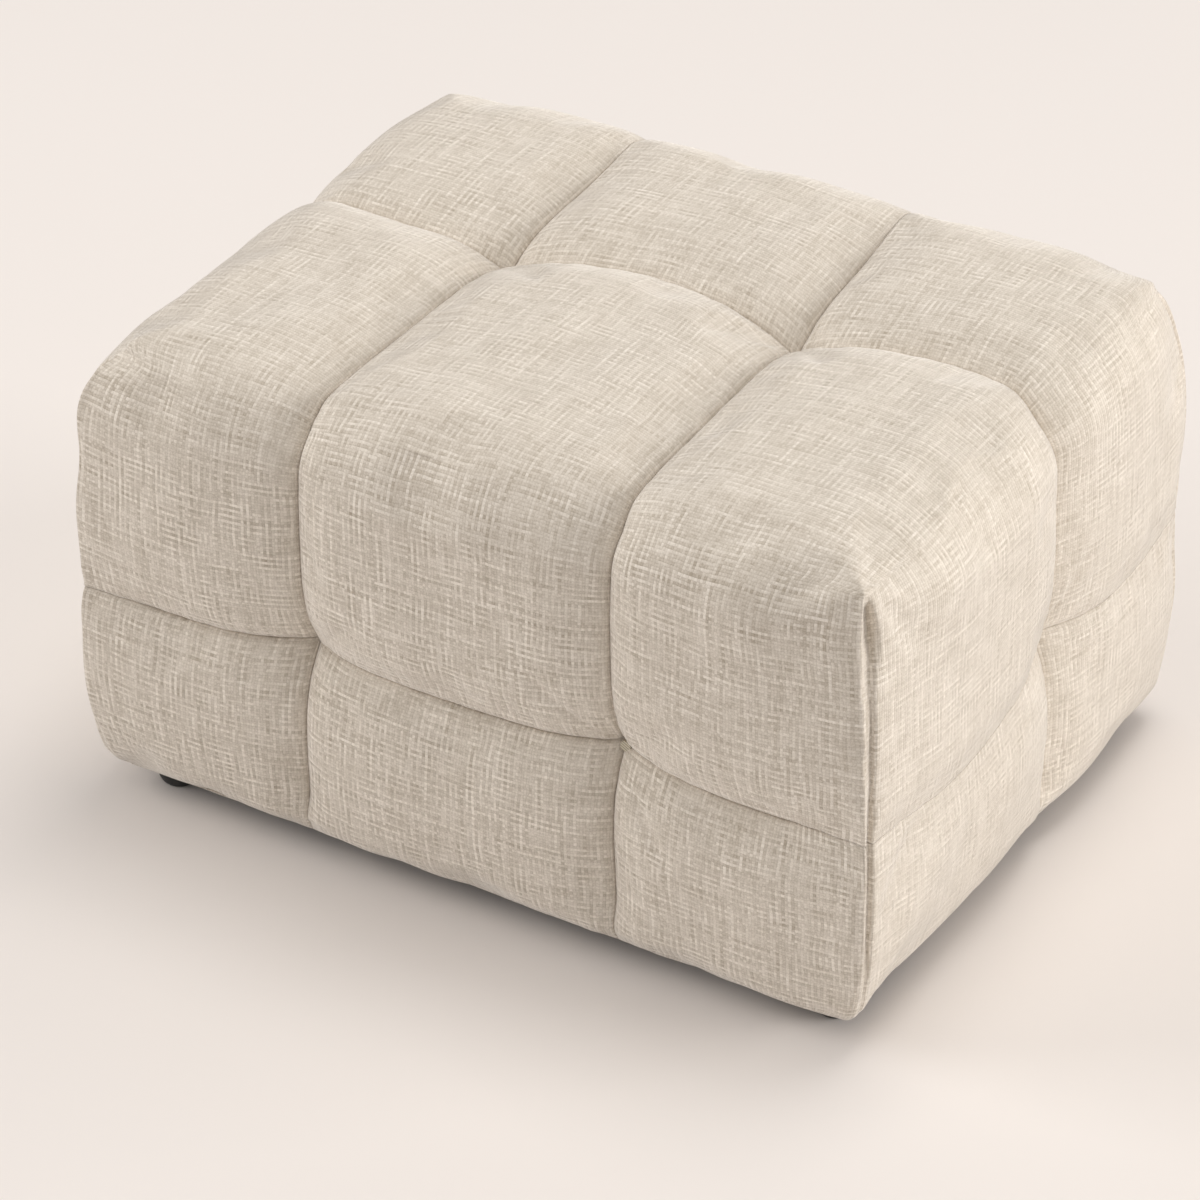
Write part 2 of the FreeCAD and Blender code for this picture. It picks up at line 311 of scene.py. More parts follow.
def lean_corners(points, sizes):
    """Leans the upright corners in towards the top, up to the point of their dart."""
    x, y, z = points.T
    rise = np.clip((z - 0.13) / 0.275, 0, 1)
    at_front_right = 0.0035 + 0.0185 * rise**2
    at_front_left = 0.0025 + 0.043 * rise**13 + 0.0050 * bell(z - 0.325, 0.045)
    at_front_left = at_front_left + 0.0028 * bell(z - 0.23, 0.05)
    at_back = 0.0065 + 0.032 * rise**9 + 0.0015 * bell(z - 0.17, 0.035)
    inset = np.where(y > 0, at_back, np.where(x > 0, at_front_right, at_front_left))
    rounding = sizes.edge_radius
    into_edge = np.clip(z - (body_top - rounding), 0, rounding)
    inset = np.maximum(inset - rounding + np.sqrt(rounding**2 - into_edge**2), 0)
    from_end, from_side = edge_gaps(x, y)
    lean_reach = 0.13
    near_end = np.clip(1 - np.maximum(from_end, 0) / lean_reach, 0, 1) ** 1.8
    near_side = np.clip(1 - np.maximum(from_side, 0) / lean_reach, 0, 1) ** 1.8
    moved = points.copy()
    moved[:, 0] -= np.sign(x) * inset * near_side * (np.abs(x) / half_length) ** 3
    moved[:, 1] -= np.sign(y) * inset * near_end * (np.abs(y) / half_depth) ** 3
    return moved


# Courses of the seams on the box, and the tufts where they cross


def cross_seams(spots):
    """Where the two cross seams run, as x at each spot of the box."""
    places = [-half_depth, TUFT_ROW, half_depth]
    left = np.interp(spots[:, 1], places, LEFT_COURSE)
    right = np.interp(spots[:, 1], places, RIGHT_COURSE)
    drop = 0.175
    lower = np.clip((TUFT_LEVEL - spots[:, 2]) / drop, 0, 1)
    return left - 0.005 * lower, right + 0.003 * lower


def lengthwise_seam(spots, sizes):
    """Where the lengthwise seam runs, as y at each spot of the box."""
    x = spots[:, 0]
    on_top = smooth_rise(spots[:, 2], body_top - 0.12, body_top)
    left_tuft = LEFT_COURSE[1]
    right_tuft = RIGHT_COURSE[1]
    bow = 0.019 * between(x, left_tuft, right_tuft) + 0.016 * between(x, right_tuft, 0.380)
    bow = bow - 0.004 * between(x, -0.37, left_tuft)
    return sizes.lengthwise_seam + bow * on_top


def level_seam(spots, sizes):
    """Height of the level seam at each spot of the box."""
    x, y, _ = spots.T
    end_wall = np.abs(x) > half_length - NEAR
    row = sizes.lengthwise_seam
    along_front = 0.006 * between(x, -half_length, LEFT_SEAM)
    along_front = along_front + 0.003 * between(x, LEFT_SEAM, RIGHT_SEAM)
    along_front = along_front + 0.007 * between(x, RIGHT_SEAM, half_length)
    along_end = 0.020 * between(y, -half_depth, row) + 0.008 * between(y, row, half_depth)
    return sizes.level_seam - np.where(end_wall, along_end, along_front)


def seam_distances(spots, sizes):
    """Distances of the spots from the cross, lengthwise and level seams."""
    x, y, z = spots.T
    left, right = cross_seams(spots)
    cross = np.minimum(np.abs(x - left), np.abs(x - right))
    lengthwise = np.abs(y - lengthwise_seam(spots, sizes))
    level = np.abs(z - level_seam(spots, sizes))
    return cross, lengthwise, level


def tufts(sizes):
    """Places of the eight tufts on the box."""
    row = sizes.lengthwise_seam
    height = sizes.level_seam
    places = []
    for y, z in ((row, body_top), (-half_depth, height), (half_depth, height)):
        left, right = cross_seams(np.array([[0.0, y, z]]))
        places.append((left[0], y, z))
        places.append((right[0], y, z))
    places.append((-half_length, row, height))
    places.append((half_length, row, height))
    return np.array(places)


def wall_axes(place):
    """Two directions in the face of the box that holds a tuft."""
    lengthways, crossways, upright = np.eye(3)
    if place[2] > body_top - 0.01:
        return lengthways, crossways
    if abs(place[1]) > half_depth - 0.01:
        return lengthways, upright
    return crossways, upright


# What seams, tufts and folds do to the cover


def fan_folds(spots, sizes):
    """Small folds that run out from each tuft, as a height below the cover."""
    random = np.random.RandomState(sizes.wrinkle_seed)
    depth = np.zeros(len(spots))
    for place in tufts(sizes):
        first, second = wall_axes(place)
        away = spots - place
        on_wall = np.abs(away @ np.cross(first, second)) < 0.02
        across = away @ first
        up = away @ second
        radius = np.hypot(across, up)
        angle = np.arctan2(up, across)
        for fold in range(16):
            quarter = fold // 4
            turn = quarter * math.pi / 2 + random.uniform(0.22, 1.35)
            width = random.uniform(0.035, 0.07)
            reach = random.uniform(0.018, 0.04)
            size = random.uniform(0.0010, 0.0024)
            off = (angle - turn + math.pi) % (2 * math.pi) - math.pi
            ridge = bell(off, width) - 0.5 * bell(off, 2.2 * width)
            fade = np.exp(-radius / reach) * (1 - np.exp(-radius / 0.008))
            depth += np.where(on_wall, size * 2.2 * ridge * fade, 0)
    return depth


def corner_fold(spots):
    """The upright corner seam: a thin ridge on the long walls, with a groove beside it."""
    x, y, z = spots.T
    from_end, from_side = edge_gaps(x, y)
    below_top = z < body_top - NEAR
    on_long_wall = (from_side < NEAR) & below_top
    on_end_wall = (from_end < NEAR) & below_top
    below_dart = 1 - smooth_rise(z, 0.400, 0.4195)
    ridge = -0.0018 * bell(from_end - 0.003, 0.0034)
    pinch = 0.0055 * bell(z - 0.378, 0.030)
    groove = (0.0085 + pinch) * bell(from_side - 0.0034, 0.0030)
    tuck = 0.0045 * bell(from_side, 0.012) * bell(z - 0.375, 0.040)
    fold = np.where(on_long_wall, ridge, 0) + np.where(on_end_wall, groove + tuck, 0)
    return fold * below_dart * (0.35 + 0.65 * smooth_rise(z, 0.04, 0.12))


class SeamHold:
    """How strongly each kind of seam holds the cover at the spots of the box."""

    def __init__(self, spots, sizes):
        x, y, z = spots.T
        high = smooth_rise(z, 0.28, 0.40)
        self.at_back = 1 - 0.78 * smooth_rise(y, 0.12, 0.25) * high
        self.at_left = 1 - 0.55 * smooth_rise(-x, 0.18, 0.33) * high
        to_tuft = np.abs(y - sizes.lengthwise_seam)
        on_end_wall = 0.22 + 0.55 * bell(to_tuft, 0.045)
        end_wall = np.abs(x) > half_length - NEAR
        self.broad_level = np.where(end_wall, on_end_wall, 1.0)
        self.level_fold = np.where(end_wall, 0.8 * on_end_wall, 1.0)
        left, right = cross_seams(spots)
        nearer = np.where(np.abs(x - left) < np.abs(x - right), left, right)
        self.beside_cross = np.where(x > nearer, 0.80, 1.15)
        self.beside_lengthwise = np.where(y < lengthwise_seam(spots, sizes), 0.62, 1.25)
        self.to_corner = np.hypot(*edge_gaps(x, y))


def seam_draw(spots, distances, hold, sizes):
    """How far the seams pull the cover in over the broad strips beside them."""
    x, y, z = spots.T
    cross, lengthwise, level = distances
    from_end, from_side = edge_gaps(x, y)
    to_top_edge = np.minimum(np.hypot(from_side, body_top - z), np.hypot(from_end, body_top - z))
    at_edge = bell(to_top_edge, 0.055)
    low_share = 0.25 + 0.75 * smooth_rise(z, 0.03, 0.10)
    cross_draw = sizes.cross_draw + sizes.edge_draw * at_edge
    from_cross = cross_draw * seam_share(cross, 0.115) * low_share * hold.at_back
    more_at_left = 0.003 * smooth_rise(-x, 0.10, 0.20)
    lengthwise_draw = sizes.lengthwise_draw + more_at_left + sizes.edge_draw * at_edge
    lengthwise_share = seam_share(lengthwise, 0.12 * hold.beside_lengthwise)
    from_lengthwise = lengthwise_draw * lengthwise_share * low_share * hold.at_left
    level_draw = sizes.level_draw * (1 - 0.85 * bell(hold.to_corner, 0.08))
    from_level = level_draw * hold.broad_level * seam_share(level, 0.085)
    return np.sqrt(from_cross**2 + from_lengthwise**2 + from_level**2)


def tuft_draw(spots, sizes):
    """How far the tufts pull the cover in, less at the two end walls."""
    total = np.zeros(len(spots))
    for place in tufts(sizes):
        distance = np.linalg.norm(spots - place, axis=1)
        at_end = abs(place[0]) > half_length - 0.01
        deep = sizes.tuft_draw * (0.62 if at_end else 1.0)
        total += deep * np.clip(1 - distance / sizes.tuft_reach, 0, 1) ** 2.6
    return total


def seam_folds(spots, distances, hold, sizes):
    """Depth of the narrow folds along the seams."""
    cross, lengthwise, level = distances
    width = sizes.crease_width
    depth = sizes.crease_depth
    cross_fold = crease(cross, width * hold.beside_cross, depth) * hold.at_back
    lengthwise_fold = crease(lengthwise, width * hold.beside_lengthwise, depth) * hold.at_left
    level_fold = crease(level, width * 0.68, depth * 0.72)
    level_fold = level_fold * hold.level_fold * (1 - 0.6 * bell(hold.to_corner, 0.04))
    fold = np.maximum(np.maximum(cross_fold, lengthwise_fold), level_fold)
    return fold * (0.30 + 0.70 * smooth_rise(spots[:, 2], 0.025, 0.06))


def draw_depth(spots, sizes):
    """How far seams, tufts and folds pull the cover in at each spot of the box."""
    x, y, z = spots.T
    distances = seam_distances(spots, sizes)
    hold = SeamHold(spots, sizes)
    total = seam_draw(spots, distances, hold, sizes) + tuft_draw(spots, sizes)
    total += seam_folds(spots, distances, hold, sizes)
    soft_limit = 0.040 + 0.006 * smooth_rise(z, 0.40, body_top)
    total = total - 0.7 * np.maximum(total - soft_limit, 0)
    total += corner_fold(spots)
    nearest = np.minimum.reduce(distances)
    loose = 1 - np.exp(-nearest / 0.03)
    total += 0.0009 * loose * (0.5 + soft_bumps(spots, 11, 0.11))
    total += fan_folds(spots, sizes)
    total += 0.00035 * np.exp(-nearest / 0.012) * soft_bumps(spots, 23, 0.016)
    under = np.clip((np.minimum(*edge_gaps(x, y)) - 0.004) / 0.022, 0, 1)
    return total * np.where(z < body_bottom + NEAR, 1 - under, 1)


def inner_points(spots):
    """The points inside the body that the spots of the box are drawn towards."""
    inset = 0.09
    lift = 0.05
    x = np.clip(spots[:, 0], -half_length + inset, half_length - inset)
    y = np.clip(spots[:, 1], -half_depth + inset, half_depth - inset)
    z = np.clip(spots[:, 2], body_bottom + lift, body_top - inset)
    return np.stack([x, y, z], 1)


def cover_points(spots, sizes):
    """Places on the finished cover for spots of the box, found by halving."""
    inner = inner_points(spots)
    outward = spots - inner
    reach = np.linalg.norm(outward, axis=1)
    outward = outward / reach[:, None]
    low = np.zeros(len(spots))
    high = reach * 1.02 + 0.002
    for _ in range(26):
        middle = (low + high) / 2
        inside = cover_distance(inner + outward * middle[:, None], sizes) < 0
        low = np.where(inside, middle, low)
        high = np.where(inside, high, middle)
    depth = draw_depth(spots, sizes)
    return lean_corners(inner + outward * (low - depth)[:, None], sizes)


def core_points(spots, sizes):
    """Places on the back of the padding, against the foam, for spots of the box."""
    x, y, z = spots.T
    row = sizes.lengthwise_seam
    height = sizes.level_seam
    seam_x = np.where(x < 0, LEFT_SEAM, RIGHT_SEAM)
    outer_x = np.where(x < 0, -half_length, half_length)
    inner_x = np.where(x < 0, -core_half_length, core_half_length)
    beyond = np.abs(x) > np.abs(seam_x)
    new_x = np.where(beyond, seam_x + (x - seam_x) * (inner_x - seam_x) / (outer_x - seam_x), x)
    outer_y = np.where(y < row, -half_depth, half_depth)
    inner_y = np.where(y < row, -core_half_depth, core_half_depth)
    new_y = row + (y - row) * (inner_y - row) / (outer_y - row)
    new_z = height + (z - height) * (core_top - height) / (body_top - height)
    return np.stack([new_x, new_y, new_z], 1)


# Making of a closed piece from grids of spots


def new_mesh(name, points, edges, faces):
    """A mesh from points, edges and faces."""
    mesh = bpy.data.meshes.new(name)
    mesh.from_pydata(points, edges, faces)
    return mesh


def mesh_from(name, build):
    """A mesh from a bmesh, which is freed."""
    mesh = bpy.data.meshes.new(name)
    build.to_mesh(mesh)
    build.free()
    return mesh


def add_object(name, data):
    """A new object in the scene."""
    obj = bpy.data.objects.new(name, data)
    bpy.context.scene.collection.objects.link(obj)
    return obj


def steps_for(span, sizes):
    """Number of points along a length."""
    return max(int(round(span / sizes.mesh_step)) + 1, 4)


def run_lengths(points):
    """Mean length run along the second axis of a grid of points."""
    steps = np.linalg.norm(np.diff(points, axis=1), axis=2).mean(0)
    return np.concatenate([[0], np.cumsum(steps)])


def surface_of(spots, sizes):
    """Cover points for a grid of spots."""
    return cover_points(spots.reshape(-1, 3), sizes).reshape(spots.shape)


def cloth_lengths(grid, sizes):
    """Lengths along the cloth for each point of a grid: along its rows and its columns."""
    points = surface_of(grid, sizes)
    return np.meshgrid(run_lengths(points), run_lengths(points.transpose(1, 0, 2)))


def make_closed_piece(name, patches, sizes, material):
    """One closed padded piece from patches: spots, backs, and lengths across and along the cloth."""
    index = {}
    outer = []
    inner = []
    faces = []
    face_uv = []
    for grid, back, across, along in patches:
        points = surface_of(grid, sizes)
        rows, columns, _ = points.shape
        numbers = np.zeros((rows, columns), int)
        for i in range(rows):
            for j in range(columns):
                key = tuple(np.round(grid[i, j] * STEPS_PER_METRE).astype(int))
                if key not in index:
                    index[key] = len(outer)
                    outer.append(points[i, j])
                    inner.append(back[i, j])
                numbers[i, j] = index[key]
        for i in range(rows - 1):
            for j in range(columns - 1):
                ring = ((i, j), (i + 1, j), (i + 1, j + 1), (i, j + 1))
                faces.append([numbers[a, b] for a, b in ring])
                face_uv.append([(across[a, b], along[a, b]) for a, b in ring])
    outer = np.array(outer)
    faces, face_uv = face_outwards(outer, faces, face_uv)
    rims = rim_edges(faces)
    spots = np.array(list(index)) / STEPS_PER_METRE
    corners = upright_corners(spots)
    outer = settle_cover(outer, faces, rims, corners, spots, sizes)
    return close_and_build(name, outer, np.array(inner), faces, face_uv, rims, corners, material)


def face_outwards(points, faces, face_uv):
    """Turns every face that looks towards the middle of the body."""
    centre = np.array([0, 0, 0.2])
    shape = np.array([0.6, 0.8, 1.2])
    turned = []
    turned_uv = []
    for ring, uv in zip(faces, face_uv):
        a, b, c, d = (points[k] for k in ring)
        normal = np.cross(c - a, d - b)
        away = (a + b + c + d) / 4 - centre
        step = -1 if normal @ (away * shape) < 0 else 1
        turned.append(ring[::step])
        turned_uv.append(uv[::step])
    return turned, turned_uv


def rim_edges(faces):
    """Edges, in the order of their face, that only one face of a sheet has."""
    edges = {(ring[k], ring[(k + 1) % 4]) for ring in faces for k in range(4)}
    return {edge for edge in edges if edge[::-1] not in edges}


def upright_corners(spots):
    """Numbers of the spots that lie on an upright corner of the box, below its top."""
    x, y, z = spots.T
    from_end, from_side = edge_gaps(x, y)
    at_corner = (from_end < 10 * NEAR) & (from_side < 10 * NEAR) & (z < body_top - 10 * NEAR)
    return set(np.nonzero(at_corner)[0].tolist())


def settle_cover(points, faces, rims, corners, spots, sizes):
    """Lets the cloth of one cell settle over its padding, held along its seams."""
    mesh = new_mesh("settling", points.tolist(), [], faces)
    cover = add_object("settling", mesh)
    held = {int(end) for edge in rims for end in edge} | corners
    cover.vertex_groups.new(name="held").add(sorted(held), 1.0, "REPLACE")
    cloth = cover.modifiers.new("Cloth", "CLOTH")
    cloth.settings.quality = 4
    cloth.settings.vertex_group_mass = "held"
    cloth.settings.bending_stiffness = sizes.cloth_stiffness
    cloth.settings.use_pressure = True
    cloth.settings.uniform_pressure_force = sizes.cloth_pressure
    cloth.settings.shrink_min = -sizes.cloth_excess
    cloth.settings.effector_weights.gravity = 0
    last_frame = 20
    cloth.point_cache.frame_end = last_frame
    for step in range(1, last_frame + 1):
        bpy.context.scene.frame_set(step)
    depsgraph = bpy.context.evaluated_depsgraph_get()
    settled = np.zeros(len(points) * 3, dtype=np.float32)
    cover.evaluated_get(depsgraph).data.vertices.foreach_get("co", settled)
    bpy.data.objects.remove(cover)
    bpy.data.meshes.remove(mesh)
    bpy.context.scene.frame_set(1)
    move = settled.reshape(-1, 3) - points
    moved = np.linalg.norm(move, axis=1)
    capped = np.minimum(moved, sizes.cloth_cap) / np.maximum(moved, 1e-9)
    nearest = np.minimum.reduce(seam_distances(spots, sizes))
    free = smooth_rise(nearest, 0.0, 0.014)
    return points + move * (capped * free)[:, None]


def close_and_build(name, outer, inner, faces, face_uv, rims, corners, material):
    """Adds the back and the rims to a sheet of faces and makes the object."""
    count = len(outer)
    all_faces = [list(ring) for ring in faces]
    all_uv = [list(uv) for uv in face_uv]
    for ring, uv in zip(faces, face_uv):
        all_faces.append([k + count for k in ring[::-1]])
        all_uv.append(list(uv[::-1]))
    for ring, uv in zip(faces, face_uv):
        for k in range(4):
            n = (k + 1) % 4
            a, b = ring[k], ring[n]
            if (a, b) in rims:
                all_faces.append([b, a, a + count, b + count])
                all_uv.append([uv[n], uv[k], uv[k], uv[n]])
    mesh = new_mesh(name, np.concatenate([outer, inner]).tolist(), [], all_faces)
    layer = mesh.uv_layers.new(name="cloth")
    layer.data.foreach_set("uv", np.array(all_uv, dtype=np.float32).reshape(-1))
    finish_mesh(mesh, material)
    sharpen_rims(mesh, rims, corners)
    return add_object(name, mesh)


def finish_mesh(mesh, material):
    """Gives a mesh its material and smooth shading."""
    mesh.materials.append(material)
    mesh.polygons.foreach_set("use_smooth", [True] * len(mesh.polygons))
    mesh.update()


def sharpen_rims(mesh, rims, corners):
    """Keeps the seam edges and the upright corner seams crisp under subdivision."""
    crisp = {tuple(sorted(edge)) for edge in rims}
    layer = mesh.attributes.new("crease_edge", "FLOAT", "EDGE")
    values = np.zeros(len(mesh.edges), dtype=np.float32)
    for edge in mesh.edges:
        ends = tuple(sorted(edge.vertices))
        if ends in crisp or corners.issuperset(ends):
            values[edge.index] = 1.0
    layer.data.foreach_set("value", values)


def subdivide(obj):
    """Adds a subdivision surface and applies it."""
    modifier = obj.modifiers.new("Fullness", "SUBSURF")
    modifier.levels = 1
    modifier.render_levels = 1
    modifier.uv_smooth = "PRESERVE_BOUNDARIES"
    apply_modifiers(obj)


def apply_modifiers(obj):
    """Turns the evaluated object into a plain mesh."""
    depsgraph = bpy.context.evaluated_depsgraph_get()
    mesh = bpy.data.meshes.new_from_object(obj.evaluated_get(depsgraph))
    obj.modifiers.clear()
    old = obj.data
    obj.data = mesh
    bpy.data.meshes.remove(old)
    mesh.name = obj.name


# Upper cells


def cell_profile(side, sizes):
    """Spots from the lengthwise seam over the top, and on down one long wall."""
    sign = SIDES[side][1]
    start = sizes.lengthwise_seam + sign * SEAM_GAP
    edge = sign * half_depth
    top_count = steps_for(abs(edge - start), sizes)
    wall_count = steps_for(body_top - sizes.level_seam, sizes)
    top = [(start + (edge - start) * share, body_top) for share in graded(top_count)]
    drop = body_top - sizes.level_seam - SEAM_GAP
    wall = [(edge, body_top - drop * (1 - share)) for share in half_graded(wall_count)[::-1][1:]]
    return np.array(top), np.array(wall)


def upper_cell_grids(side, column, sizes):
    """Grids of one upper cell: its top with a long wall, and an end wall at a corner."""
    top, wall = cell_profile(side, sizes)
    rows = np.concatenate([top, wall])
    widths = {
        "left": half_length + LEFT_SEAM,
        "middle": RIGHT_SEAM - LEFT_SEAM,
        "right": half_length - RIGHT_SEAM,
    }
    count = steps_for(widths[column], sizes)
    shares = graded(count)
    grid = np.zeros((len(rows), count, 3))
    for i, (y, z) in enumerate(rows):
        left, right = (seam[0] for seam in cross_seams(np.array([[0.0, y, z]])))
        if column == "middle":
            x = left + SEAM_GAP + (right - left - 2 * SEAM_GAP) * shares
        elif column == "right":
            x = right + SEAM_GAP + (half_length - right - SEAM_GAP) * shares
        else:
            x = left - SEAM_GAP + (-half_length - left + SEAM_GAP) * shares
        grid[i, :, 0] = x
        grid[i, :, 1] = y
        grid[i, :, 2] = z
    flat = grid.reshape(-1, 3)
    top_spots = len(top) * count
    follow_lengthwise_seam(flat[:top_spots], side, sizes)
    follow_level_seam(flat[top_spots:], sizes)
    if column == "middle":
        return [grid]
    return [grid, end_wall_grid(grid, top, wall, side, column, sizes)]


def end_wall_grid(grid, top, wall, side, column, sizes):
    """Grid of an upper cell's end wall, joined to the grid of its top and long wall."""
    end = half_length if column == "right" else -half_length
    heights = np.concatenate([[body_top], wall[:, 1]])
    wall_grid = np.zeros((len(top), len(heights), 3))
    wall_grid[:, :, 0] = end
    wall_grid[:, :, 1] = top[:, :1]
    wall_grid[:, :, 2] = heights
    flat = wall_grid.reshape(-1, 3)
    follow_lengthwise_seam(flat, side, sizes)
    follow_level_seam(flat, sizes)
    wall_grid[:, 0, :] = grid[: len(top), -1, :]
    wall_grid[-1, :, :] = grid[len(top) - 1 :, -1, :]
    return wall_grid


def follow_lengthwise_seam(spots, side, sizes):
    """Shifts spots so that their border follows the wandering lengthwise seam."""
    edge = SIDES[side][1] * half_depth
    share = (spots[:, 1] - edge) / (sizes.lengthwise_seam - edge)
    spots[:, 1] += (lengthwise_seam(spots, sizes) - sizes.lengthwise_seam) * np.clip(share, 0, 1)


def follow_level_seam(spots, sizes):
    """Shifts spots above the level seam so that their border follows it."""
    share = (body_top - spots[:, 2]) / (body_top - sizes.level_seam)
    spots[:, 2] += (level_seam(spots, sizes) - sizes.level_seam) * np.clip(share, 0, 1)


def make_upper_cell(side, column, sizes, material):
    """One upper cell with its padding."""
    grids = upper_cell_grids(side, column, sizes)
    shift = {"left": 0.31, "middle": 0.0, "right": 0.67}[column] + (0.9 if side == "back" else 0)
    patches = []
    start = 0.0
    for grid in grids:
        across, along = cloth_lengths(grid, sizes)
        back = core_points(grid.reshape(-1, 3), sizes).reshape(grid.shape)
        patches.append((grid, back, across + start + shift, along + shift))
        start = across[0, -1]
    return make_closed_piece("cell_top_" + side + "_" + column, patches, sizes, material)


# Lower cells


def half_sizes(axis):
    """A wall's half run and face, and those of the core behind it."""
    if axis == 1:
        return half_length, half_depth, core_half_length, core_half_depth
    return half_depth, half_length, core_half_depth, core_half_length


def lower_cell_grid(side, first, last, sizes):
    """Grid of one lower cell: its wall and the strip turned in under the body."""
    axis, sign = SIDES[side]
    half_run, face, _, core = half_sizes(axis)
    depth = face - core
    wall_count = steps_for(sizes.level_seam - body_bottom, sizes)
    under_count = steps_for(depth, sizes)
    run_count = steps_for(0.24, sizes)
    shares = graded(run_count)
    top = sizes.level_seam - SEAM_GAP
    rows = [(0.0, top - (top - body_bottom) * share) for share in half_graded(wall_count)]
    rows += [(depth * share, body_bottom) for share in np.linspace(0, 1, under_count)[1:]]
    grid = np.zeros((len(rows), run_count, 3))
    for i, (inset, z) in enumerate(rows):
        low = run_end(first, -1, inset, half_run, side, z, sizes)
        high = run_end(last, 1, inset, half_run, side, z, sizes)
        grid[i, :, 1 - axis] = low + (high - low) * shares
        grid[i, :, axis] = sign * (face - inset)
        grid[i, :, 2] = z
    flat = grid.reshape(-1, 3)
    on_wall = flat[:, 2] > body_bottom + NEAR
    seam = level_seam(flat, sizes)
    share = (flat[:, 2] - body_bottom) / (sizes.level_seam - body_bottom)
    flat[:, 2] += np.where(on_wall, (seam - sizes.level_seam) * np.clip(share, 0, 1), 0)
    return grid, wall_count


def run_end(kind, way, inset, half_run, side, z, sizes):
    """Where a lower cell's row ends: at a mitred corner or at an upright seam."""
    if kind == "corner":
        return way * (half_run - inset - SEAM_GAP)
    if kind == "seam":
        return sizes.lengthwise_seam - way * SEAM_GAP
    y = SIDES[side][1] * half_depth
    left, right = cross_seams(np.array([[0.0, y, z]]))
    place = left[0] if kind == "left_seam" else right[0]
    return place - way * SEAM_GAP


def make_lower_cell(side, name_end, first, last, sizes, material):
    """One lower cell with its padding."""
    axis, sign = SIDES[side]
    grid, wall_rows = lower_cell_grid(side, first, last, sizes)
    across, along = cloth_lengths(grid, sizes)
    shift = 0.13 * len(name_end) + 0.21 * len(side)
    back = grid.copy()
    _, _, core_run, core = half_sizes(axis)
    count = len(grid)
    top = grid[0, :, 2].copy()
    for i in range(count):
        share = i / (count - 1)
        source = grid[min(i, wall_rows - 1), :, 1 - axis]
        back[i, :, axis] = sign * core
        back[i, :, 2] = top + (body_bottom + 0.0006 - top) * share
        back[i, :, 1 - axis] = squeeze_run(source, first, last, core_run - SEAM_GAP)
    patch = (grid, back, across + shift, along + shift)
    return make_closed_piece("cell_low_" + side + "_" + name_end, [patch], sizes, material)


def squeeze_run(values, first, last, reach):
    """Moves the corner end of a run from the wall's corner to the core's corner."""
    start, end = values[0], values[-1]
    new_start = -reach if first == "corner" else start
    new_end = reach if last == "corner" else end
    return new_start + (values - start) * (new_end - new_start) / (end - start)


# Materials


class Wiring:
    """Short ways to add and join nodes in one tree."""

    def __init__(self, tree):
        self.tree = tree
        self.nodes = tree.nodes

    def join(self, source, target):
        if isinstance(source, bpy.types.NodeSocket):
            self.tree.links.new(source, target)
        else:
            target.default_value = source

    def add(self, kind, values, **settings):
        """A new node with its settings, and a value or a link for each named or numbered socket."""
        node = self.nodes.new(kind)
        for name, setting in settings.items():
            setattr(node, name, setting)
        for label, value in values.items():
            self.join(value, node.inputs[label])
        return node.outputs

    def math(self, kind, first, second=0.0, third=0.0):
        return self.add("ShaderNodeMath", {0: first, 1: second, 2: third}, operation=kind)[0]

    def spread(self, value, low, high, new_low=0.0, new_high=1.0):
        values = {"Value": value, "From Min": low, "From Max": high, "To Min": new_low, "To Max": new_high}
        return self.add("ShaderNodeMapRange", values)["Result"]

    def vector(self, x, y, z=0.0):
        return self.add("ShaderNodeCombineXYZ", {0: x, 1: y, 2: z})[0]

    def parts(self, vector):
        x, y, z = self.add("ShaderNodeSeparateXYZ", {0: vector})
        return x, y, z

    def noise(self, vector, scale, detail=2.0, roughness=0.5):
        values = {"Vector": vector, "Scale": scale, "Detail": detail, "Roughness": roughness}
        return self.add("ShaderNodeTexNoise", values)[0]

    def blend(self, share, first, second):
        return self.add("ShaderNodeMix", {0: share, 2: first, 3: second}, data_type="FLOAT")[0]

    def tint(self, share, first, second):
        return self.add("ShaderNodeMix", {0: share, 6: first, 7: second}, data_type="RGBA")[2]

    def bump(self, height, strength, distance):
        values = {"Strength": strength, "Distance": distance, "Height": height}
        return self.add("ShaderNodeBump", values)[0]


